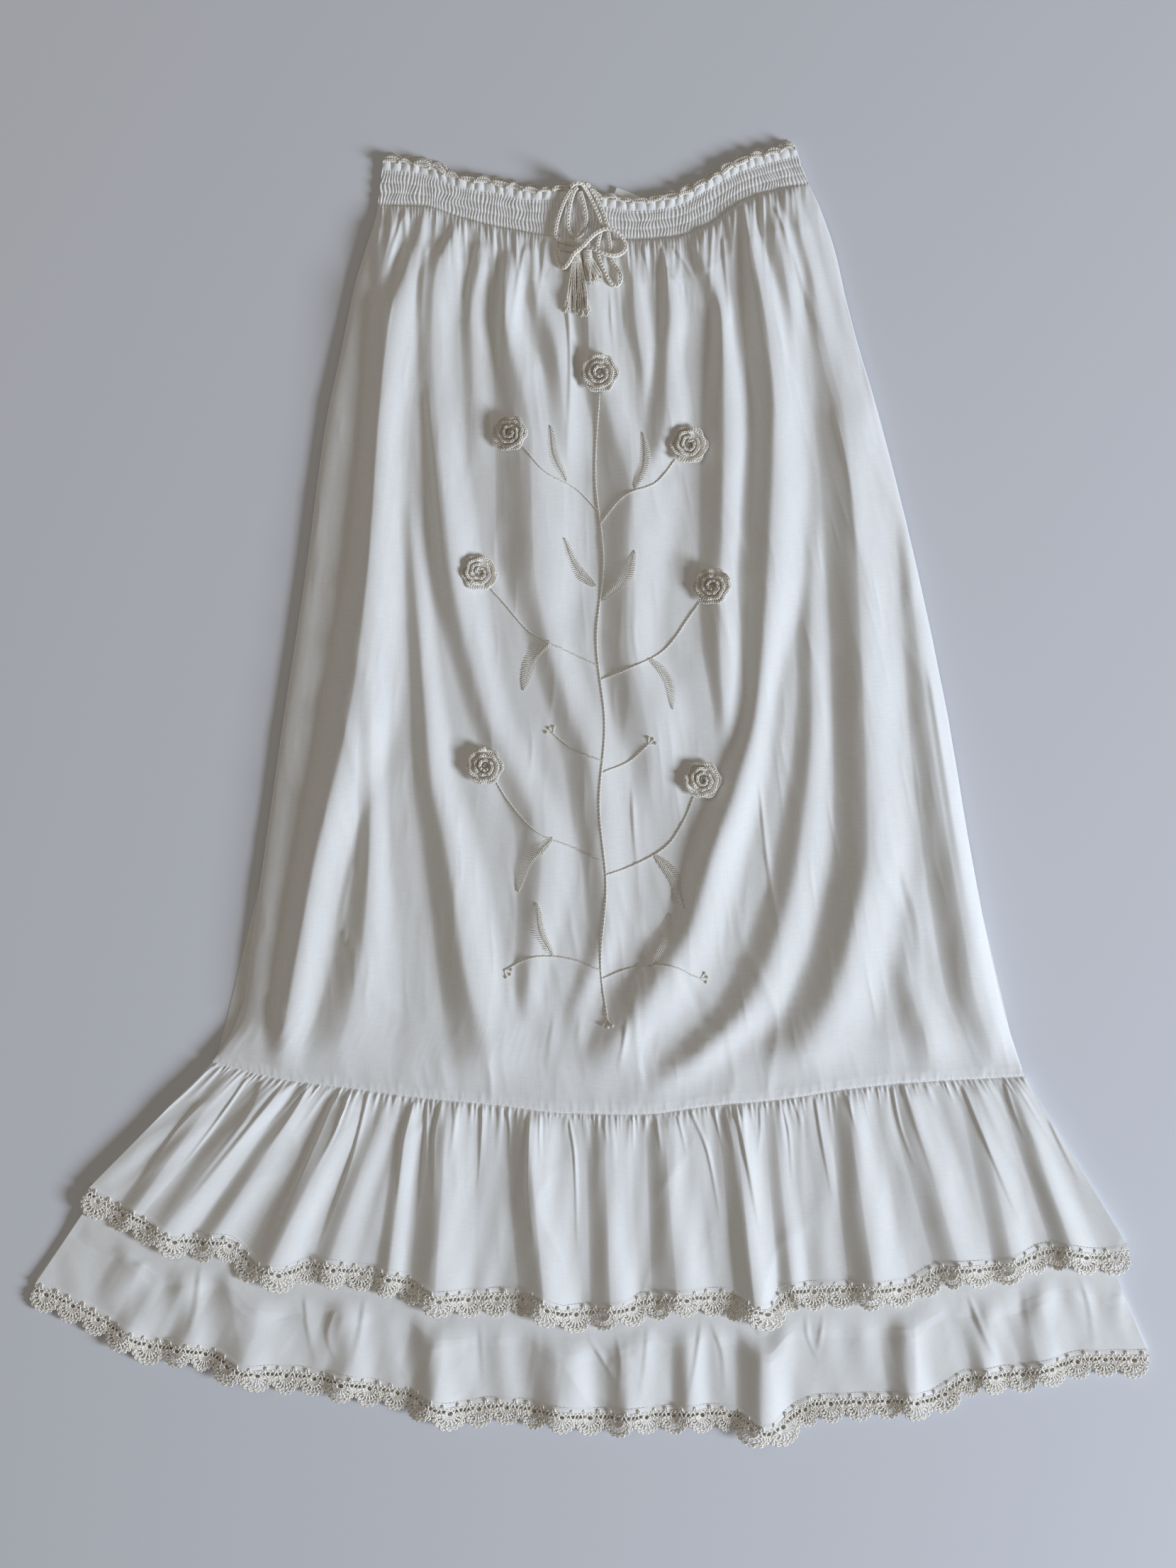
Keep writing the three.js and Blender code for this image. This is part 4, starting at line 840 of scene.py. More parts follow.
# Creases that the gathers throw, down from the seam; columns: x and y of start, middle and end,
# half width on the left, how many times wider to the right, rise
flounceCreases = [
    (-279, -200, -300, -221, -342, -258, 1.6, 1.0, 1.6), (-286, -227, -309, -252, -341, -300, 2.6, 3.0, 1.6),
    (-254, -209, -271, -234, -306, -281, 1.5, 1.2, 1.6), (-243, -210, -252, -234, -292, -290, 3.0, 3.0, 1.3),
    (-226, -214, -257, -253, -309, -318, 3.0, 3.5, 2.6), (-209, -215, -222, -238, -242, -267, 2.0, 3.0, 1.8),
    (-188, -219, -204, -257, -243, -346, 2.6, 3.5, 2.4), (-179, -221, -190, -250, -205, -280, 1.4, 1.0, 1.5),
    (-166, -222, -177, -266, -206, -345, 1.8, 4.5, 2.2), (-132, -226, -141, -262, -145, -306, 1.6, 4.0, 2.2),
    (-123, -227, -124, -262, -131, -318, 1.6, 3.0, 1.8), (-113, -228, -118, -262, -118, -302, 1.5, 3.0, 1.8),
    (-82, -231, -84, -272, -86, -300, 1.4, 2.5, 1.2), (-65, -232, -62, -250, -62, -272, 1.3, 1.2, 1.2),
    (-47, -235, -49, -290, -43, -338, 2.0, 4.5, 2.6), (-40, -237, -40, -255, -39, -274, 1.3, 1.5, 1.1),
    (-19, -238, -14, -272, -12, -340, 1.4, 1.6, 1.3), (7, -239, 9, -254, 10, -264, 1.4, 1.5, 1.0),
    (29, -239, 29, -256, 29, -268, 1.4, 1.5, 1.0), (46, -238, 48, -255, 50, -268, 1.4, 1.5, 1.1),
    (61, -237, 65, -252, 69, -269, 1.4, 1.5, 1.2), (71, -235, 84, -266, 94, -318, 1.5, 1.5, 1.4),
    (88, -233, 92, -249, 97, -268, 1.4, 2.0, 1.2), (96, -232, 100, -250, 104, -268, 1.4, 2.0, 1.3),
    (104, -231, 112, -268, 124, -330, 2.0, 4.0, 2.2), (122, -229, 123, -246, 121, -270, 1.4, 2.0, 1.3),
    (138, -228, 144, -252, 147, -290, 1.5, 2.5, 1.4), (147, -226, 151, -238, 154, -248, 1.4, 1.5, 1.1),
    (163, -223, 168, -255, 177, -302, 1.6, 3.0, 1.6), (186, -221, 190, -237, 194, -252, 1.4, 1.5, 1.2),
    (220, -216, 226, -246, 238, -279, 1.5, 1.2, 1.5), (228, -215, 238, -248, 258, -300, 2.4, 3.0, 1.0),
    (271, -214, 287, -254, 315, -319, 1.7, 4.0, 1.9), (303, -214, 309, -234, 318, -257, 1.5, 1.4, 1.5),
    (336, -243, 348, -267, 361, -291, 2.0, 2.0, 1.4),
]

# Large folds of the over flounce; columns: seam x, hem x, half at seam, half at hem, rise
overFolds = [
    (-264, -340, 12, 16, 4), (-233, -318, 16, 22, 6), (-209, -282, 13, 20, 4),
    (-177, -240, 18, 24, 7), (-152, -196, 12, 18, 4), (-135, -152, 10, 13, 4),
    (-108, -117, 21, 26, 8), (-50, -37, 24, 26, 9), (7, 12, 18, 20, 6), (51, 61, 18, 25, 6),
    (103, 118, 16, 20, 8), (132, 146, 10, 13, 3), (185, 206, 18, 25, 7), (229, 269, 20, 24, 6),
    (279, 308, 16, 18, 5), (308, 352, 16, 20, 6),
]

# Folds of the under flounce at its hem; columns: hem x, half width, rise
underFolds = [
    (-345, 16, 4), (-305, 19, 4), (-261, 30, 7), (-186, 20, 5), (-119, 24, 8), (-27, 27, 7),
    (24, 20, 6), (69, 16, 4), (123, 24, 9), (233, 20, 6), (290, 14, 4), (330, 18, 5),
]


def seamPoint(u):
    x = mix(seamStart, seamEnd, u)
    return x, seamLine(x)


def overHemPoint(u, lift=0.0):
    x = mix(overStart, overEnd, gatherFan(u))
    return x, overHem(x) + lift


def underHemPoint(u, lift=0.0):
    x = mix(underStart, underEnd, u)
    return x, underHem(x) + lift


def overPoint(u, v, lift=0.0):
    topX, topY = seamPoint(u)
    hemX, hemY = overHemPoint(u, lift)
    return mix(topX, hemX, v), mix(topY, hemY, v)


def overFoldHeight(x, v):
    total = 0.0
    for seamX, hemX, seamHalf, hemHalf, rise in overFolds:
        strength = rise * mix(overSet["seamFoldShare"], 1, np.sqrt(v))
        total = total + strength * foldProfile(x - mix(seamX, hemX, v), mix(seamHalf, hemHalf, v))
    return total


def overRelief(u, v, x, y):
    depth = 130 * v
    place = overSet["gathers"] * u
    uneven = 1 + 0.5 * unevenness(place, 0 * place, 5, 5, 21)
    ridge = (0.5 - 0.5 * np.cos(2 * np.pi * (place + 0.3 * unevenness(place, 4 * v, 6, 4, 9)))) ** 1.6
    full = overSet["fullness"] * uneven * ridge * share(1 - v / overSet["fullnessFade"])
    pucker = gathers(600 * u, depth, (0, 600), overSet["puckers"], overSet["puckerHalf"], overSet["puckerRise"],
                     overSet["puckerReach"], 31)
    tuck = gathers(600 * u, depth, (0, 600), overSet["tucks"], overSet["tuckHalf"], overSet["tuckRise"],
                   overSet["tuckReach"], 33)
    soft = overSet["softRise"] * unevenness(600 * u, depth, 26, 70, 17)
    crumple = overSet["creaseRise"] * creased(600 * u, depth, 60, 110, 54)
    leaving = share(depth / 5)
    turn = 0.4 * share((overSet["hemTurn"] - 130 * (1 - v)) / 0.6)
    sharp = pucker * share(depth / 2)
    return sharp + (full + tuck + lappedCreases(x, y, flounceCreases) + (soft + crumple) * share(v * 6)) * leaving + turn


v = spacedRows((0, 0.035, 6), (0.035, 0.94, 46), (0.94, 1, 8))
u, v = np.meshgrid(np.linspace(0, 1, overSet["columns"] + 1), v)
x, y = overPoint(u, v)
low = overLow + overFoldHeight(x, v) * share(v * 14)
y[0] += 1.0  # the top row tucks in under the panel
low[0] -= 1.0
low = low - 0.4 * share(1 - v * 30)
frontOver = clothShell("front_over_flounce_cloth", np.dstack([x, y, low + clothThick + overRelief(u, v, x, y)]),
                       np.dstack([x, y, low])[::10], overSet["cut"])
x, y = overPoint(u, v, 3)
backOver = clothShell("back_over_flounce_cloth", np.dstack([x, y, 0 * x + clothThick])[::5, ::4],
                      np.dstack([x, y, 0 * x])[::15, ::4], overSet["cut"])

# The under flounce lies flat beneath the over flounce and its lace, and is folded where it shows
underSet = {
    "columns": 600, "shelf": 0.74, "laceDepth": 17, "laceClear": 4, "backFall": 12, "frontFall": 8,
    "start": 0.45, "settle": 0.75, "softRise": 0.6, "creaseRise": 0.7, "cut": (980, 222), "rowsBetween": (2, 2, 6, 10, 42),
}
# Its creases, with the same columns as those of the over flounce
underCreases = [
    (-331, -345, -343, -372, -345, -405, 12, 1.5, 2.2), (-290, -345, -293, -380, -300, -414, 4, 3.0, 1.8),
    (-250, -352, -248, -385, -258, -426, 12, 2.0, 2.4), (-214, -372, -212, -395, -206, -424, 2.5, 3.0, 1.0),
    (-168, -366, -172, -400, -181, -435, 3.5, 3.0, 1.6), (-192, -384, -197, -402, -190, -424, 2.2, 2.0, 1.0),
    (-112, -385, -112, -415, -118, -450, 10, 2.5, 2.2), (-84, -392, -82, -420, -80, -446, 3, 5.0, 0.9),
    (-30, -392, -28, -420, -26, -452, 9, 2.5, 2.0), (-8, -398, 6, -420, 20, -443, 2, 2.0, 1.6),
    (16, -398, 20, -425, 18, -454, 2.5, 3.0, 1.2), (40, -395, 38, -425, 34, -454, 2.5, 4.0, 1.0),
    (80, -388, 76, -420, 70, -454, 2.2, 3.0, 1.5), (84, -386, 96, -420, 98, -450, 2.5, 2.5, 1.2),
    (130, -394, 130, -425, 134, -458, 12, 1.5, 2.2), (157, -380, 158, -400, 167, -424, 2, 1.5, 1.4),
    (170, -384, 168, -402, 165, -420, 1.8, 1.5, 1.2), (228, -372, 230, -405, 238, -446, 13, 1.2, 2.0),
    (277, -372, 288, -400, 300, -424, 2.5, 1.5, 1.7), (318, -362, 322, -390, 330, -426, 5, 2.0, 1.2),
    (358, -352, 368, -385, 372, -414, 3, 2.0, 1.3), (392, -350, 390, -385, 398, -416, 8, 1.2, 1.4),
]


def underLines(u, lift=0.0):
    top = seamPoint(u)
    hem = underHemPoint(u, lift)
    shelfX = mix(top[0], hem[0], underSet["shelf"])
    shelfY = overHem(np.clip(shelfX, overStart, overEnd)) - underSet["laceDepth"] - underSet["laceClear"]
    run = np.hypot(hem[0] - shelfX, hem[1] - shelfY)
    toward = lambda distance: (mix(shelfX, hem[0], distance / run), mix(shelfY, hem[1], distance / run))
    return [top, (shelfX, shelfY), toward(underSet["backFall"]),
            toward(underSet["backFall"] + underSet["frontFall"]), hem]


def underFoldHeight(x):
    return sum(rise * foldProfile(x - hemX, half) for hemX, half, rise in underFolds)


def underGrid(u):
    lines = underLines(u)
    folds = [underFoldHeight(line[0]) for line in lines]
    heights = [underLow + 0 * u, underLow + 0 * u, mix(underLow, frontLow, 0.5) + underSet["start"] * folds[2],
               frontLow + underSet["settle"] * folds[3], frontLow + folds[4]]
    rows = []
    for number, between in enumerate(underSet["rowsBetween"][1:]):
        for t in np.arange(between) / between:
            rows.append([mix(lines[number][c], lines[number + 1][c], t) for c in (0, 1)]
                        + [mix(heights[number], heights[number + 1], t ** 1.4 if number == 1 else t)])
    rows.append([lines[4][0], lines[4][1], heights[4]])
    return np.array(rows).transpose(0, 2, 1)


u = np.linspace(0, 1, underSet["columns"] + 1)
low = underGrid(u)
rowCount = low.shape[0] - 1
fromHem = np.hypot(low[..., 0] - low[-1:, :, 0], low[..., 1] - low[-1:, :, 1])
shown = share((np.arange(rowCount + 1) - 2) / 8)[:, None]
relief = (underSet["softRise"] * unevenness(low[..., 0], low[..., 1], 26, 110, 23)
          + underSet["creaseRise"] * creased(low[..., 0], low[..., 1], 36, 150, 56)
          + lappedCreases(low[..., 0], low[..., 1], underCreases)) * shown
relief = relief + 0.4 * share((3.2 - fromHem) / 0.6)
upper = low.copy()
upper[..., 2] += clothThick + relief
frontUnder = clothShell("front_under_flounce_cloth", upper, low[::6], underSet["cut"])

lines = underLines(u, 3)
backHeights = [layer, layer, 0.0, 0.0]
backRows = [[line[0], line[1], 0 * u + high] for line, high in zip([*lines[:3], lines[4]], backHeights)]
backLowGrid = np.array(backRows).transpose(0, 2, 1)[:, ::4]
backUpperGrid = backLowGrid + (0, 0, clothThick)
backUnder = clothShell("back_under_flounce_cloth", backUpperGrid, backLowGrid, underSet["cut"])
print("flounces made")

for piece, node in (
    (frontPanel, "front_panel"), (backPanel, "back_panel"), (frontBand, "front_waistband"),
    (backBand, "back_waistband"), (frontFrill, "front_waist_frill"), (backFrill, "back_waist_frill"),
    (frontOver, "front_over_flounce"), (backOver, "back_over_flounce"),
    (frontUnder, "front_under_flounce"), (backUnder, "back_under_flounce"),
):
    finishPiece(piece, [node])



def clothHeight(x, y):
    onBand = waistLow(x) + clothThick + bandSet["depth"]
    return np.where(y > bandBottom(x), onBand, panelTop(x, np.minimum(y, bandBottom(x) - 1)))


# Where a piece's edge runs, with the way out from it; drop is how much it falls per length outwards
def edgePath(x, y, z, side, drop):
    alongX = np.gradient(x)
    alongY = np.gradient(y)
    length = np.hypot(alongX, alongY)
    outward = np.column_stack([side * -alongY / length, side * alongX / length, -drop + 0 * x])
    kernel = np.ones(9) / 9
    for c in (0, 1):
        padded = np.concatenate([np.full(4, outward[0, c]), outward[:, c], np.full(4, outward[-1, c])])
        outward[:, c] = np.convolve(padded, kernel, "valid")
    outward /= np.linalg.norm(outward, axis=1, keepdims=True)
    return np.column_stack([x, y, z]), outward


def outwardBy(points, outward, distance):
    return toFrame(points + outward * distance), outward


# Crochet: points on a loop, flattened or not, from one angle to another
def loopPoints(centre, reachX, reachY, count, high=0.0, swing=0.0, start=0.0, turn=2 * np.pi, ends=False):
    angles = start + turn * np.arange(count + ends) / count
    return np.column_stack([centre[0] + reachX * np.cos(angles), centre[1] + reachY * np.sin(angles),
                            high + swing * np.cos(angles)])


# One scallop of the hem lace, in thick thread: stitches over the hem, a chain along it, leaning
# posts round an eyelet, a close fan of trebles and an edge of loops and picots.
# x runs along the hem, y outwards from it and z up
laceSet = {
    "repeat": 21.4, "depth": 17, "droop": 0.35, "thread": 0.66, "links": 7, "high": 1.0, "postFoot": 5.4,
    "eyelet": 2.3, "eyeletAt": 4.6, "trebles": 10, "fanSide": 8.4, "fanDeep": 2.3, "edge": 1.15, "picot": 1.0,
    "backTrebles": 6, "backLinks": 5, "wander": 0.3 * mm,
}


def scallopUnit(name, links, trebles, full=True):
    repeat = laceSet["repeat"]
    middle = repeat / 2
    high = laceSet["high"]
    centre = np.array((middle, laceSet["eyeletAt"]))
    hemTop = clothThick + 0.9
    runs = []
    closed = []

    def loop(points):
        closed.append(len(runs))
        runs.append(points)

    for k in range(links):
        at = (k + 0.5) * repeat / links
        loop(loopPoints((at, 1.2), 0.7 * repeat / links, 0.78, 8 if full else 6, high, 0.35))
        if k % 4 == 1:
            runs.append(np.array([(at - 0.6, 0.9, high + 0.2), (at - 0.6, -0.9, hemTop), (at - 0.1, -1.9, hemTop),
                                  (at + 0.6, -1.9, hemTop), (at + 1.0, -0.9, hemTop), (at + 0.9, 0.9, high + 0.2)]))
        aside = abs(at - middle)
        if aside > 0.8 * laceSet["eyelet"]:
            foot = 0.9 if k % 2 else -0.9
            runs.append(np.array([(at - foot, 1.7, high), (at, 3.6, high + 0.35), (at + 0.5 * foot, laceSet["postFoot"], high)]))
    loop(loopPoints(centre, laceSet["eyelet"], 0.9 * laceSet["eyelet"], 12, high, 0.15))
    for side in (-1, 1):
        for k in range(3):
            loop(loopPoints((middle + side * (3.6 + 2.9 * k), laceSet["postFoot"] + 0.5), 1.75, 0.7, 7 if full else 5,
                            high + 0.1, 0.3))
    tops = []
    for k in range(trebles):
        angle = mix(0.12, np.pi - 0.12, k / (trebles - 1))
        reach = laceSet["fanSide"] + laceSet["fanDeep"] * math.sin(angle) ** 0.9
        way = np.array([math.cos(angle), math.sin(angle)])
        across = np.array([-way[1], way[0]])
        foot = laceSet["eyelet"] + 0.3
        bow = [(0, 0, 0), (0.33, 0.28, 0.4), (0.66, -0.28, 0.35), (1, 0, 0)]
        runs.append(np.array([np.append(centre + way * mix(foot, reach, t) + across * off, high + lift)
                              for t, off, lift in bow]))
        for t in (0.36, 0.7) if full else ():
            wrap = centre + way * mix(foot, reach, t)
            runs.append(np.array([np.append(wrap - across * 0.8 - way * 0.5, high + 0.1),
                                  np.append(wrap + across * 0.8 + way * 0.5, high + 0.75)]))
        tops.append(centre + way * (reach + 0.2))
    for a, b in zip(tops[:-1], tops[1:]):
        half = (a + b) / 2
        way = (half - centre) / np.linalg.norm(half - centre)
        width = np.linalg.norm(b - a) / 2
        along = (b - a) / (2 * width)
        angles = 2 * np.pi * np.arange(8 if full else 6) / (8 if full else 6)
        flat = half + 1.25 * width * np.cos(angles)[:, None] * along + 0.7 * np.sin(angles)[:, None] * way
        loop(np.column_stack([flat, high + 0.3 + 0.35 * np.cos(angles)]))
        peak = half + way * laceSet["edge"]
        if not full:
            continue
        round_ = 2 * np.pi * np.arange(6) / 6
        flat = peak + 0.8 * width * np.cos(round_)[:, None] * along + laceSet["picot"] * np.sin(round_)[:, None] * way
        loop(np.column_stack([flat, high + 0.1 + 0.3 * np.sin(round_)]))
    return threadMesh(name, [run * mm for run in runs], laceSet["thread"] * mm, crochetCotton, 0, closed)


frontScallop = scallopUnit("front_scallop", laceSet["links"], laceSet["trebles"])
backScallop = scallopUnit("back_scallop", laceSet["backLinks"], laceSet["backTrebles"], False)


def droopTo(z, rest):
    return laceSet["droop"] * (z - rest) / laceSet["depth"]


t = np.linspace(0, 1, 400)
x, y = overHemPoint(t)
z = overLow + overFoldHeight(x, 1.0)
overEdge = edgePath(x, y, z, -1, droopTo(z, overLow))
x, y = underHemPoint(t)
z = frontLow + underFoldHeight(x)
underEdge = edgePath(x, y, z, -1, droopTo(z, frontLow))
x, y = overHemPoint(t, 3)
backOverEdge = edgePath(x, y, 0 * x, -1, 0 * x)
x, y = underHemPoint(t, 3)
backUnderEdge = edgePath(x, y, 0 * x, -1, 0 * x)
for laceName, node, edge, unit in (
    ("front_over_lace_crochet", "front_over_lace", overEdge, frontScallop),
    ("front_under_lace_crochet", "front_under_lace", underEdge, frontScallop),
    ("back_over_lace_crochet", "back_over_lace", backOverEdge, backScallop),
    ("back_under_lace_crochet", "back_under_lace", backUnderEdge, backScallop),
):
    piece = repeatAlong(laceName, unit, [outwardBy(*edge, 0.2)], laceSet["repeat"] * mm, crochetCotton, seed=7,
                        uneven=0.06, wander=laceSet["wander"])
    finishPiece(piece, [node])
print("hem lace made")

# Running stitches of the turned hems
stitchSet = {"repeat": 2.9, "thread": 0.17, "aboveHem": 3.1}
hemStitch = threadMesh("hem_stitch", [np.array([(0.3, 0, -0.15), (1.3, 0, 0.2), (2.3, 0, -0.15)]) * mm],
                       stitchSet["thread"] * mm, sewingThread, 0)
hemLines = []
for edge in (overEdge, underEdge):
    points = edge[0] + (0, 0, clothThick + 0.25)
    hemLines.append(outwardBy(points, edge[1] * (1, 1, 0), -stitchSet["aboveHem"]))
t = np.linspace(0, 1, 400)
x, y = seamPoint(t)
seamPoints, seamOut = edgePath(x, y + 0.9, panelTop(x, y + 0.9) + 0.1, -1, 0 * x)
hemLines.append(outwardBy(seamPoints, seamOut, 0))
hemStitches = repeatAlong("hem_stitches", hemStitch, hemLines, stitchSet["repeat"] * mm, sewingThread)
finishPiece(hemStitches, [])

# Edging along the heading: a chain caught down at every fourth stitch, so that it stands in low loops
edgingSet = {
    "repeat": 11.8, "thread": 0.54, "lift": 2.2, "overlap": 0.9, "links": 7, "linkLong": 1.3, "linkHalf": 0.62, "rise": 2.3,
    "wander": 0.95 * mm, "wanderSize": 13 * mm,
}


def archUnit():
    repeat = edgingSet["repeat"]
    count = edgingSet["links"]
    angles = 2 * np.pi * np.arange(8) / 8
    runs = []
    closed = []
    for row, (foot, rise) in enumerate(((0.6, edgingSet["rise"]), (0.1, 0.6))):
        arch = lambda t: np.array([repeat * t, foot + rise * math.sin(math.pi * t) ** 0.8])
        for k in range(count):
            t = (k + 0.5) / count
            along = arch(t + 0.04) - arch(t - 0.04)
            along = along / np.linalg.norm(along)
            side = np.array([-along[1], along[0]])
            flat = (arch(t) + edgingSet["linkLong"] * np.cos(angles)[:, None] * along
                    + edgingSet["linkHalf"] * np.sin(angles)[:, None] * side)
            closed.append(len(runs))
            runs.append(np.column_stack([flat, 0.9 + 0.5 * row + 0.35 * np.cos(angles)]))
    for k, lean in ((0.0, 0.5), (1.0, -0.5)):
        runs.append(np.array([(repeat * k + lean, -1.6, 1.9), (repeat * k + 0.2, -0.4, 2.2), (repeat * k, 0.8, 1.2)]))
    return threadMesh("edging_arch", [run * mm for run in runs], edgingSet["thread"] * mm, crochetCotton, 0, closed)


edgingArch = archUnit()
back = t[::-1]
x, y = frillPoint(back, 0 * back, 0)
frontTopEdge = edgePath(x, y, waistLow(x) + edgingSet["lift"], -1, 0 * x)
x, y = frillPoint(back, 0 * back, backRise, backInset)
backTopEdge = edgePath(x, y, 0 * x + 0.5, -1, 0 * x)
for edgingName, node, edge, out in (
    ("front_waist_edging_crochet", "front_waist_edging", frontTopEdge, -edgingSet["overlap"]),
    ("back_waist_edging_crochet", "back_waist_edging", backTopEdge, 0.1),
):
    piece = repeatAlong(edgingName, edgingArch, [outwardBy(*edge, out)], edgingSet["repeat"] * mm, crochetCotton,
                        seed=3, uneven=0.3, wander=edgingSet["wander"], wanderSize=edgingSet["wanderSize"])
    finishPiece(piece, [node])
print("waist edging made")

# Crocheted roses, each a long petalled strip rolled up from its heart; columns: x, y, radius
roses = [
    (4, 306, 13.5), (-62, 262, 12.5), (70, 254, 13), (-84, 160, 12.5), (86, 150, 13), (-80, 18, 13), (80, 8, 13),
]
roseSet = {
    "turns": 2.7, "samples": 290, "petals": 6, "edgeShare": 0.78, "heartShare": 0.13, "outerLean": 0.24,
    "innerLean": 0.05, "outerHigh": 2.8, "innerHigh": 5.0, "wall": 0.85, "ribs": 19, "ribDepth": 0.5, "link": 1.75,
    "slopeReach": 9, "seatRings": 8, "scallop": 0.07, "trebles": 44, "thread": 0.48, "wander": 0.3 * mm,
    "rowSamples": 190,
}


def roseSeat(x, y, radius):
    reach = roseSet["slopeReach"]
    slopeX = float(clothHeight(x + reach, y) - clothHeight(x - reach, y)) / (2 * reach)
    slopeY = float(clothHeight(x, y + reach) - clothHeight(x, y - reach)) / (2 * reach)
    away = radius * (1 + roseSet["scallop"]) * np.arange(roseSet["seatRings"] + 1)[:, None] / roseSet["seatRings"]
    angle = 2 * np.pi * np.arange(48) / 48
    dx = away * np.cos(angle)
    dy = away * np.sin(angle)
    seat = (clothHeight(x + dx, y + dy) - slopeX * dx - slopeY * dy).max()
    return seat + 0.15, slopeX, slopeY


# The strip's section goes up its outer side, over the rim and down its inner side
def roseStrip(radius, spin):
    t = np.linspace(0, 1, roseSet["samples"])
    angle = spin + 2 * np.pi * roseSet["turns"] * t
    foot = radius * mix(roseSet["edgeShare"], roseSet["heartShare"], t**0.85)
    lobe = np.abs(np.sin(roseSet["petals"] / 2 * angle * (1 + 0.15 * t))) ** 0.7
    lean = radius * mix(roseSet["outerLean"], roseSet["innerLean"], t**0.6) * (0.45 + 0.65 * lobe)
    high = mix(roseSet["outerHigh"], roseSet["innerHigh"], t**0.8) * (0.78 + 0.22 * lobe)
    rib = roseSet["ribDepth"] * np.sin(2 * np.pi * roseSet["ribs"] * roseSet["turns"] * t)
    wall = roseSet["wall"]
    section = [(-0.2, 0.0, 1.0), (0.35, 0.45, 1.4), (0.8, 0.85, 1.2), (1.0, 1.0, 0.4), (0.95, 1.06, -0.4),
               (0.7, 0.9, -1.0), (0.25, 0.45, -1.0), (-0.3, 0.0, -1.0)]
    rings = []
    for out, up, side in section:
        away = foot + lean * out + side * (wall + rib * (side > 0)) * 0.7
        rings.append(np.column_stack([away * np.cos(angle), away * np.sin(angle), high * up]))
    rim = np.column_stack([(foot + lean * 1.02) * np.cos(angle), (foot + lean * 1.02) * np.sin(angle), high * 1.06])
    away = foot + lean * 0.5 + wall * 0.7
    middle = np.column_stack([away * np.cos(angle), away * np.sin(angle), high * 0.5])[:roseSet["rowSamples"]]
    turn = 2 * np.pi * 1.6 * np.linspace(0, 1, 24)
    away = radius * roseSet["heartShare"] * np.linspace(0.95, 0.1, 24)
    heart = np.column_stack([away * np.cos(turn), away * np.sin(turn), np.linspace(1.8, 3.4, 24)])
    return np.stack(rings, 1), (rim[::2], middle[::2], heart)


def roseMesh(number, x, y, radius):
    seat, slopeX, slopeY = roseSeat(x, y, radius)
    settle = lambda points: toFrame(np.column_stack([
        x + points[:, 0], y + points[:, 1], seat + slopeX * points[:, 0] + slopeY * points[:, 1] + points[:, 2]]))
    grid_, rows = roseStrip(radius, 1.3 * number)
    count, around = grid_.shape[:2]
    index = np.arange(count * around).reshape(count, around)
    faces = np.stack([index[:-1], np.roll(index[:-1], -1, 1), np.roll(index[1:], -1, 1), index[1:]], -1).reshape(-1, 4).tolist()
    faces += [index[0, ::-1].tolist(), index[-1].tolist()]
    verts = grid_.reshape(-1, 3)
    disc = []
    for share_, high in ((0.0, 0.9), (0.5, 1.0), (0.93, 0.7), (0.93, 0.0), (0.0, 0.0)):
        disc.append([(radius * share_ * (1 + 0.06 * math.cos(roseSet["petals"] * a)) * math.cos(a),
                      radius * share_ * (1 + 0.06 * math.cos(roseSet["petals"] * a)) * math.sin(a), high)
                     for a in np.linspace(0, 2 * np.pi, 37)[:-1]])
    start = len(verts)
    ringIndex = start + np.arange(5 * 36).reshape(5, 36)
    faces += np.stack([ringIndex[:-1], ringIndex[1:], np.roll(ringIndex[1:], -1, 1), np.roll(ringIndex[:-1], -1, 1)],
                      -1).reshape(-1, 4).tolist()
    verts = np.vstack([verts, np.array(disc).reshape(-1, 3)])
    body = linkMesh("rose_body", settle(verts), faces, crochetCotton)
    petalAt = lambda a, share_: radius * share_ * (1 + 0.07 * math.cos(roseSet["petals"] * a))
    petals = settle(np.array([(petalAt(a, 0.95) * math.cos(a), petalAt(a, 0.95) * math.sin(a), 1.0)
                              for a in np.linspace(0, 2 * np.pi, 73)]))
    lines = [(line, flatSideways(line)) for line in (*(settle(row) for row in rows), petals)]
    chain = repeatAlong("rose_chain", chainLink, lines, roseSet["link"] * mm, crochetCotton)
    spokes = []
    for k in range(roseSet["trebles"]):
        a = 2 * np.pi * k / roseSet["trebles"]
        spokes.append(settle(np.array([(petalAt(a, t) * math.cos(a), petalAt(a, t) * math.sin(a), lift)
                                       for t, lift in ((0.45, 1.3), (0.72, 1.35), (0.93, 0.9))])))
    trebles = threadMesh("rose_trebles", spokes, roseSet["thread"] * mm, crochetCotton, 0)
    parts = (body, chain, trebles)
    whole = joinMeshes(f"rose_{number}_crochet", [part.data for part in parts], crochetCotton, roseSet["wander"], 9 * mm)
    for part in parts:
        bpy.data.objects.remove(part)
    finishPiece(whole, [f"rose_{number}"])
    return whole


chainLink = threadMesh("chain_link", [loopPoints((0.9, 0), 1.2, 0.72, 7, 0.2, 0.35) * mm], 0.46 * mm, crochetCotton, 0, [0])
rosePieces = [roseMesh(number, x, y, radius) for number, (x, y, radius) in enumerate(roses, 1)]
print("roses made")

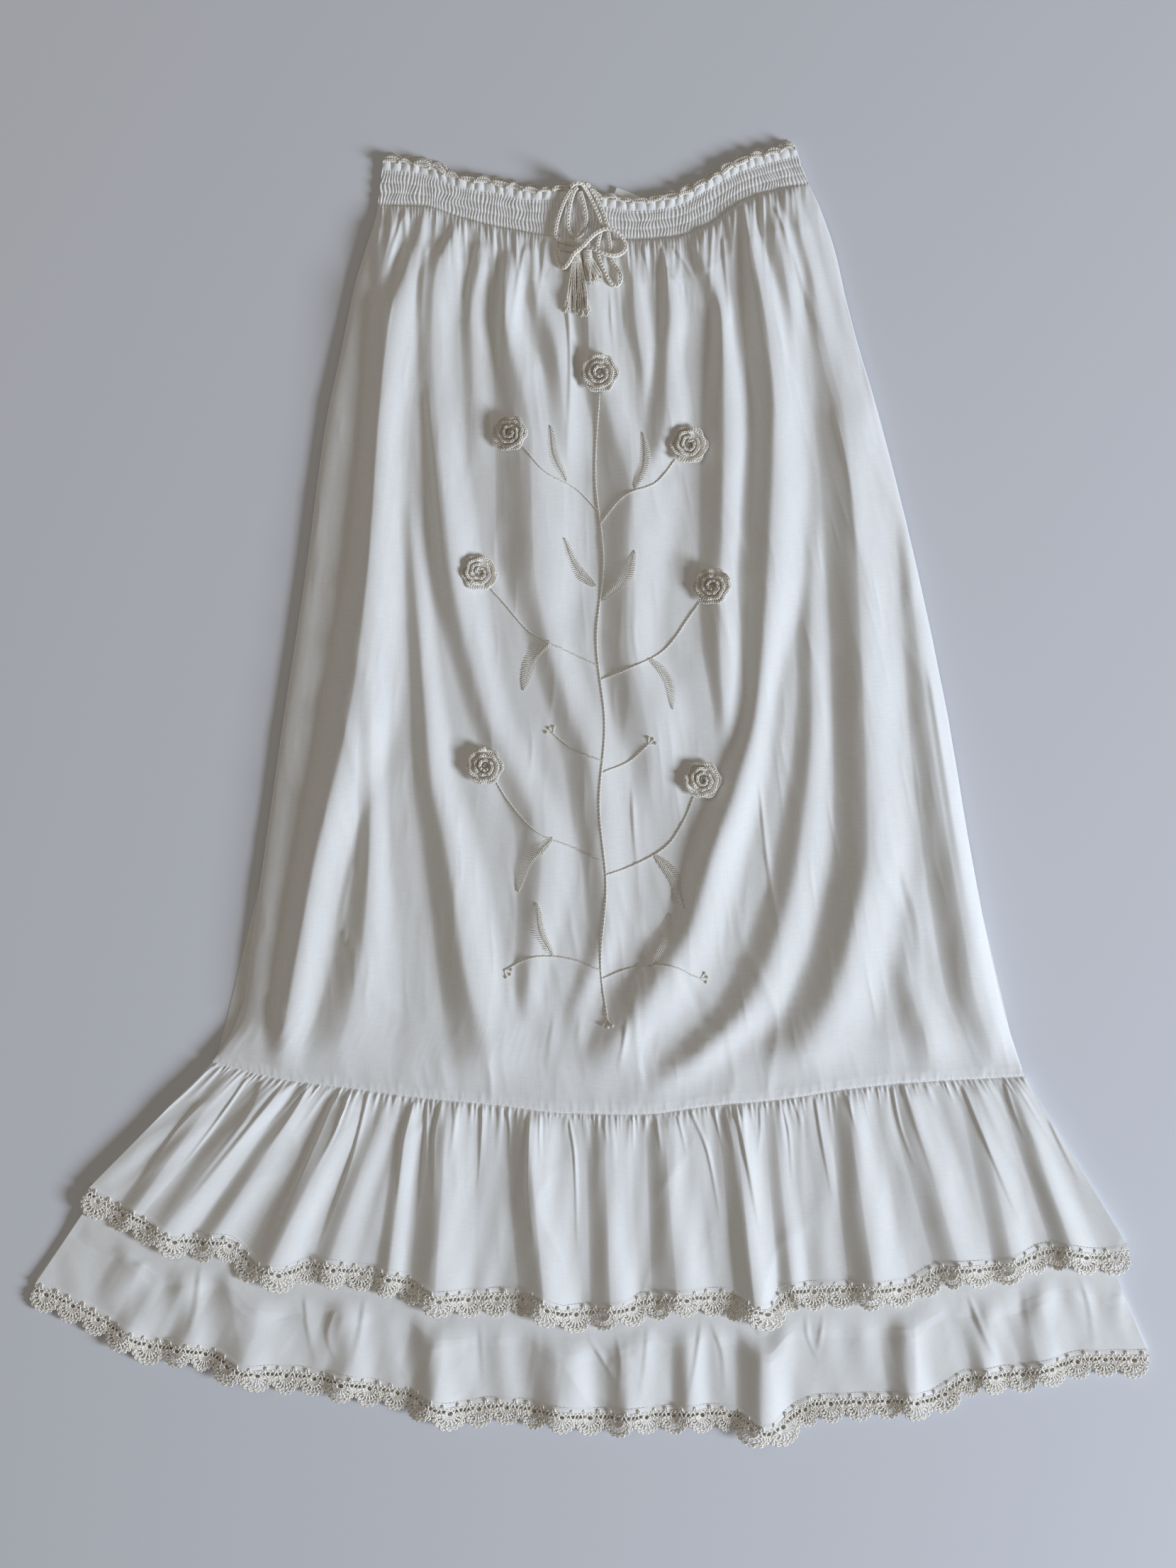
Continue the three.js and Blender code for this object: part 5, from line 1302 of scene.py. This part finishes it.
# Embroidery: a branching stem to the roses in stem stitch, leaves in fishbone stitch and
# sprigs of knots; a plain country pattern laid out for this skirt. Plan millimetres, x and y
embroiderySet = {"stem": 2.8, "stemThread": 0.33, "leaf": 1.6, "leafThread": 0.34, "leafHalf": 4.8, "knot": 0.95, "lift": 0.3}
stems = [
    [(10, -168), (5, -128), (9, -70), (4, -10), (8, 50), (2, 110), (7, 170), (1, 232), (4, 292)],
    [(5, 204), (-13, 222), (-36, 234), (-52, 252)],
    [(4, 196), (22, 216), (45, 226), (60, 244)],
    [(4, 92), (-18, 102), (-46, 116), (-66, 138), (-76, 149)],
    [(5, 82), (26, 90), (52, 104), (70, 128), (78, 139)],
    [(7, -52), (-14, -42), (-42, -30), (-64, -6), (-72, 7)],
    [(8, -62), (30, -54), (54, -40), (68, -18), (74, -3)],
    [(6, -132), (-16, -124), (-44, -122), (-66, -132)],
    [(6, -138), (28, -130), (56, -128), (78, -138)],
    [(6, 22), (-14, 30), (-30, 42)],
    [(7, 14), (26, 22), (40, 34)],
]
leaves = [
    [(-20, 227), (-30, 246), (-32, 268)], [(30, 221), (36, 240), (36, 264)],
    [(-32, 110), (-46, 96), (-52, 74)], [(40, 98), (52, 84), (58, 60)],
    [(-30, -34), (-46, -50), (-56, -74)], [(44, -46), (58, -62), (66, -86)],
    [(2, 150), (-14, 164), (-22, 186)], [(6, 140), (22, 154), (30, 176)],
    [(-30, -122), (-40, -104), (-42, -82)], [(42, -129), (54, -112), (56, -90)],
]
knotSprigs = [(-66, -132, -0.6), (78, -138, 0.2), (-30, 42, 2.2), (40, 34, 0.9), (10, -168, -1.6)]


def drape(points, lift):
    x, y = np.asarray(points, float).T
    return toFrame(np.column_stack([x, y, clothHeight(x, y) + lift]))


def drapedLine(points):
    line = smoothRoute(points, 14)
    settled = drape(line, embroiderySet["lift"])
    return settled, flatSideways(settled)


stemStitch = threadMesh("stem_stitch", [np.array([(-0.6, 0.3, -0.1), (0.6, 0.22, 0.3), (1.9, 0.0, 0.42), (3.1, -0.22, 0.3),
                                                  (4.2, -0.32, -0.1)]) * mm], embroiderySet["stemThread"] * mm, embroideryFloss, 0)
half = embroiderySet["leafHalf"]
fishbone = threadMesh("fishbone_pair", [
    np.array([(0, 0.25, 0.1), (1.1, 0.5 * half, 0.35), (2.0, half, -0.05)]) * mm,
    np.array([(0.9, -0.25, 0.1), (2.0, -0.5 * half, 0.35), (2.9, -half, -0.05)]) * mm,
], embroiderySet["leafThread"] * mm, embroideryFloss, 0)
stemWork = repeatAlong("embroidered_stems", stemStitch, [drapedLine(rows) for rows in stems],
                       embroiderySet["stem"] * mm, embroideryFloss, uneven=0.3, seed=41)
leafWork = repeatAlong("embroidered_leaves", fishbone, [drapedLine(rows) for rows in leaves],
                       embroiderySet["leaf"] * mm, embroideryFloss, taper=1.0, uneven=0.08, seed=61)
knots = []
for x, y, turn in knotSprigs:
    for side in (-0.7, 0.0, 0.7):
        at = (x + 5.2 * math.cos(turn + side), y + 5.2 * math.sin(turn + side))
        high = float(clothHeight(*at))
        knots.append(toFrame(loopPoints(at, embroiderySet["knot"], embroiderySet["knot"], 8, high + 0.55, 0.25)))
        knots.append(toFrame(loopPoints(at, 0.35, 0.35, 5, high + 0.95)))
        knots.append(toFrame(np.array([(x, y, float(clothHeight(x, y)) + 0.2), (*at, high + 0.35)])))
closed = [n for n in range(len(knots)) if n % 3 < 2]
knotWork = threadMesh("embroidered_knots", knots, 0.4 * mm, embroideryFloss, 0, closed)
for piece in (stemWork, leafWork, knotWork):
    finishPiece(piece, [])
print("embroidery made")

# Tassels: thick threads bound together at the head, fanned out over the cloth below
tasselSet = {
    "headLong": 6, "headThick": 2.1, "strands": 30, "thread": 0.42, "ply": 0.3, "wraps": 8, "points": 16, "stagger": 6.0,
    "sway": 2.2, "curl": 1.4, "core": 1.5,
}
tassels = {
    "tassel_long": {"head": (-12.8, 392.2), "half": 4, "tips": ((-21, 352), (-3.5, 347.5))},
    "tassel_short": {"head": (-4.6, 393.4), "half": 3.3, "tips": ((-3.8, 370), (6.8, 377))},
}


def tasselMesh(name, head, half, tips, seed):
    draw = np.random.default_rng(seed)
    headX, headY = head
    long = tasselSet["headLong"]
    spots = [(headX + a, headY + b) for a in (-half, -half / 2, 0, half / 2, half) for b in (-long / 2, 0, long / 2)]
    middle = max(float(clothHeight(*spot)) for spot in spots) + 0.3 + tasselSet["headThick"]
    core = tasselSet["core"]
    runs = [np.array([(headX - 0.4 * half, headY + long / 2, middle), (headX - 0.5 * half, headY - long / 2, middle)]),
            np.array([(headX + 0.4 * half, headY + long / 2, middle), (headX + 0.5 * half, headY - long / 2, middle)])]
    cores = threadMesh(name + "_core", [toFrame(run) for run in runs], core * mm, cordCotton, 1)
    runs = []
    closed = []
    for wrap in range(tasselSet["wraps"]):
        along = mix(long / 2, -long / 2, wrap / (tasselSet["wraps"] - 1))
        wide = half * (0.78 + 0.22 * math.sin(math.pi * (wrap + 1) / tasselSet["wraps"])) * (0.8 if wrap == 4 else 1)
        angles = 2 * np.pi * np.arange(18) / 18
        closed.append(len(runs))
        runs.append(np.column_stack([headX + wide * 0.95 * np.cos(angles), headY + along + 0.45 * np.cos(angles + wrap),
                                     middle + (tasselSet["headThick"] - 0.35) * np.sin(angles)]))
    for strand in range(tasselSet["strands"]):
        t = np.linspace(0, 1, tasselSet["points"])
        row = strand % 3
        place = float(np.clip((strand + draw.uniform(-1.2, 1.2)) / (tasselSet["strands"] - 1), 0, 1))
        root = (headX + (2 * place - 1) * half * 0.75, headY - long / 2 + 2.5)
        tipX = mix(tips[0][0], tips[1][0], place) + draw.uniform(-1.2, 1.2)
        tipY = mix(tips[0][1], tips[1][1], place) + tasselSet["stagger"] * draw.uniform(0, 1) ** 2
        sway = tasselSet["sway"] * draw.uniform(-1, 1)
        curl = tasselSet["curl"] * draw.uniform(-1, 1)
        x = mix(root[0], tipX, t ** 1.15) + sway * np.sin(2 * np.pi * t * draw.uniform(0.5, 1.0)) * t + curl * t**6
        y = mix(root[1], tipY, t)
        lying = clothHeight(x, y) + 0.55 + 0.9 * row
        z = mix(middle + (row - 1) * 0.9, lying, share(t * 2.2))
        z = np.maximum(z, clothHeight(x, y) + 0.5)
        turns = 2 * np.pi * t * 6
        for side in (0, np.pi):
            spread = tasselSet["ply"] * (1 + 2.2 * share((t - 0.88) / 0.12))
            runs.append(np.column_stack([x + spread * np.cos(turns + side), y, z + tasselSet["ply"] * np.sin(turns + side)]))
    threads = threadMesh(name + "_strands", [toFrame(run) for run in runs], tasselSet["thread"] * mm, cordCotton, 0, closed)
    piece = joinMeshes(name + "_threads", [cores.data, threads.data], cordCotton)
    for part in (cores, threads):
        bpy.data.objects.remove(part)
    finishPiece(piece, [name])
    return piece


tasselPieces = [tasselMesh(name, seed=70 + n, **sizes) for n, (name, sizes) in enumerate(tassels.items())]
print("tassels made")

# Blank label tape behind the back heading, a little curled
labelSet = {"wide": 22, "long": 17, "thick": 0.6, "place": (24, 435.5, 2.0), "turn": -0.38, "curl": 0.3}
across, along = grid(22, 16)
x = (across - 0.5) * labelSet["wide"]
y = (0.5 - along) * labelSet["long"]
turnX = labelSet["place"][0] + x * math.cos(labelSet["turn"]) - y * math.sin(labelSet["turn"])
turnY = labelSet["place"][1] + x * math.sin(labelSet["turn"]) + y * math.cos(labelSet["turn"])
low = labelSet["place"][2] + labelSet["curl"] * (np.cos(2.2 * across - 0.6) - 1) * 0.5
labelPiece = clothShell("label_tape_piece", np.dstack([turnX, turnY, low + labelSet["thick"]]),
                        np.dstack([turnX, turnY, low])[::8], (labelSet["wide"], labelSet["long"]), labelTape)
finishPiece(labelPiece, ["label"])

for cordName, piece in cords.items():
    finishPiece(piece, [cordName])
for cordName, piece in cords.items():
    route = cordLines[cordName]

# Plain pale floor and soft studio light from the right, low over the cloth
floorSet = {"size": 6.0, "colour": "#DDE0E6"}
lightSet = {
    "key": {"place": (3.6, -1.6, 1.65), "size": 1.3, "power": 200, "colour": "#E6F0FF"},
    "fill": {"place": (-1.4, 1.0, 2.6), "size": 3.0, "power": 11, "colour": "#FFF0E0"},
    "world": "#B9B2A8",
    "worldStrength": 0.3,
}


def makeFloor():
    material, tree, shader = newMaterial("floor_paper", floorSet["colour"], 0.9)
    half = floorSet["size"] / 2
    floor = linkMesh("floor", [(-half, -half, -0.0003), (half, -half, -0.0003), (half, half, -0.0003),
                               (-half, half, -0.0003)], [[0, 1, 2, 3]], material)


def makeLight(name, place, size, power, colour_):
    data = bpy.data.lights.new(name, "AREA")
    data.shape = "DISK"
    data.size = size
    data.energy = power
    data.color = colour(colour_)[:3]
    light = bpy.data.objects.new(name, data)
    light.location = place
    toward = -light.location
    light.rotation_euler = toward.to_track_quat("-Z", "Y").to_euler()
    bpy.context.scene.collection.objects.link(light)


makeFloor()
for lightName in ("key", "fill"):
    one = lightSet[lightName]
    makeLight(lightName + "_light", one["place"], one["size"], one["power"], one["colour"])
world = bpy.data.worlds.new("studio")
world.use_nodes = True
world.node_tree.nodes["Background"].inputs["Color"].default_value = colour(lightSet["world"])
world.node_tree.nodes["Background"].inputs["Strength"].default_value = lightSet["worldStrength"]
bpy.context.scene.world = world
bpy.context.scene.view_settings.view_transform = "Standard"
print("light set")

for scrap in (cordRepeat, frontScallop, backScallop, hemStitch, edgingArch, chainLink, stemStitch, fishbone):
    bpy.data.objects.remove(scrap)
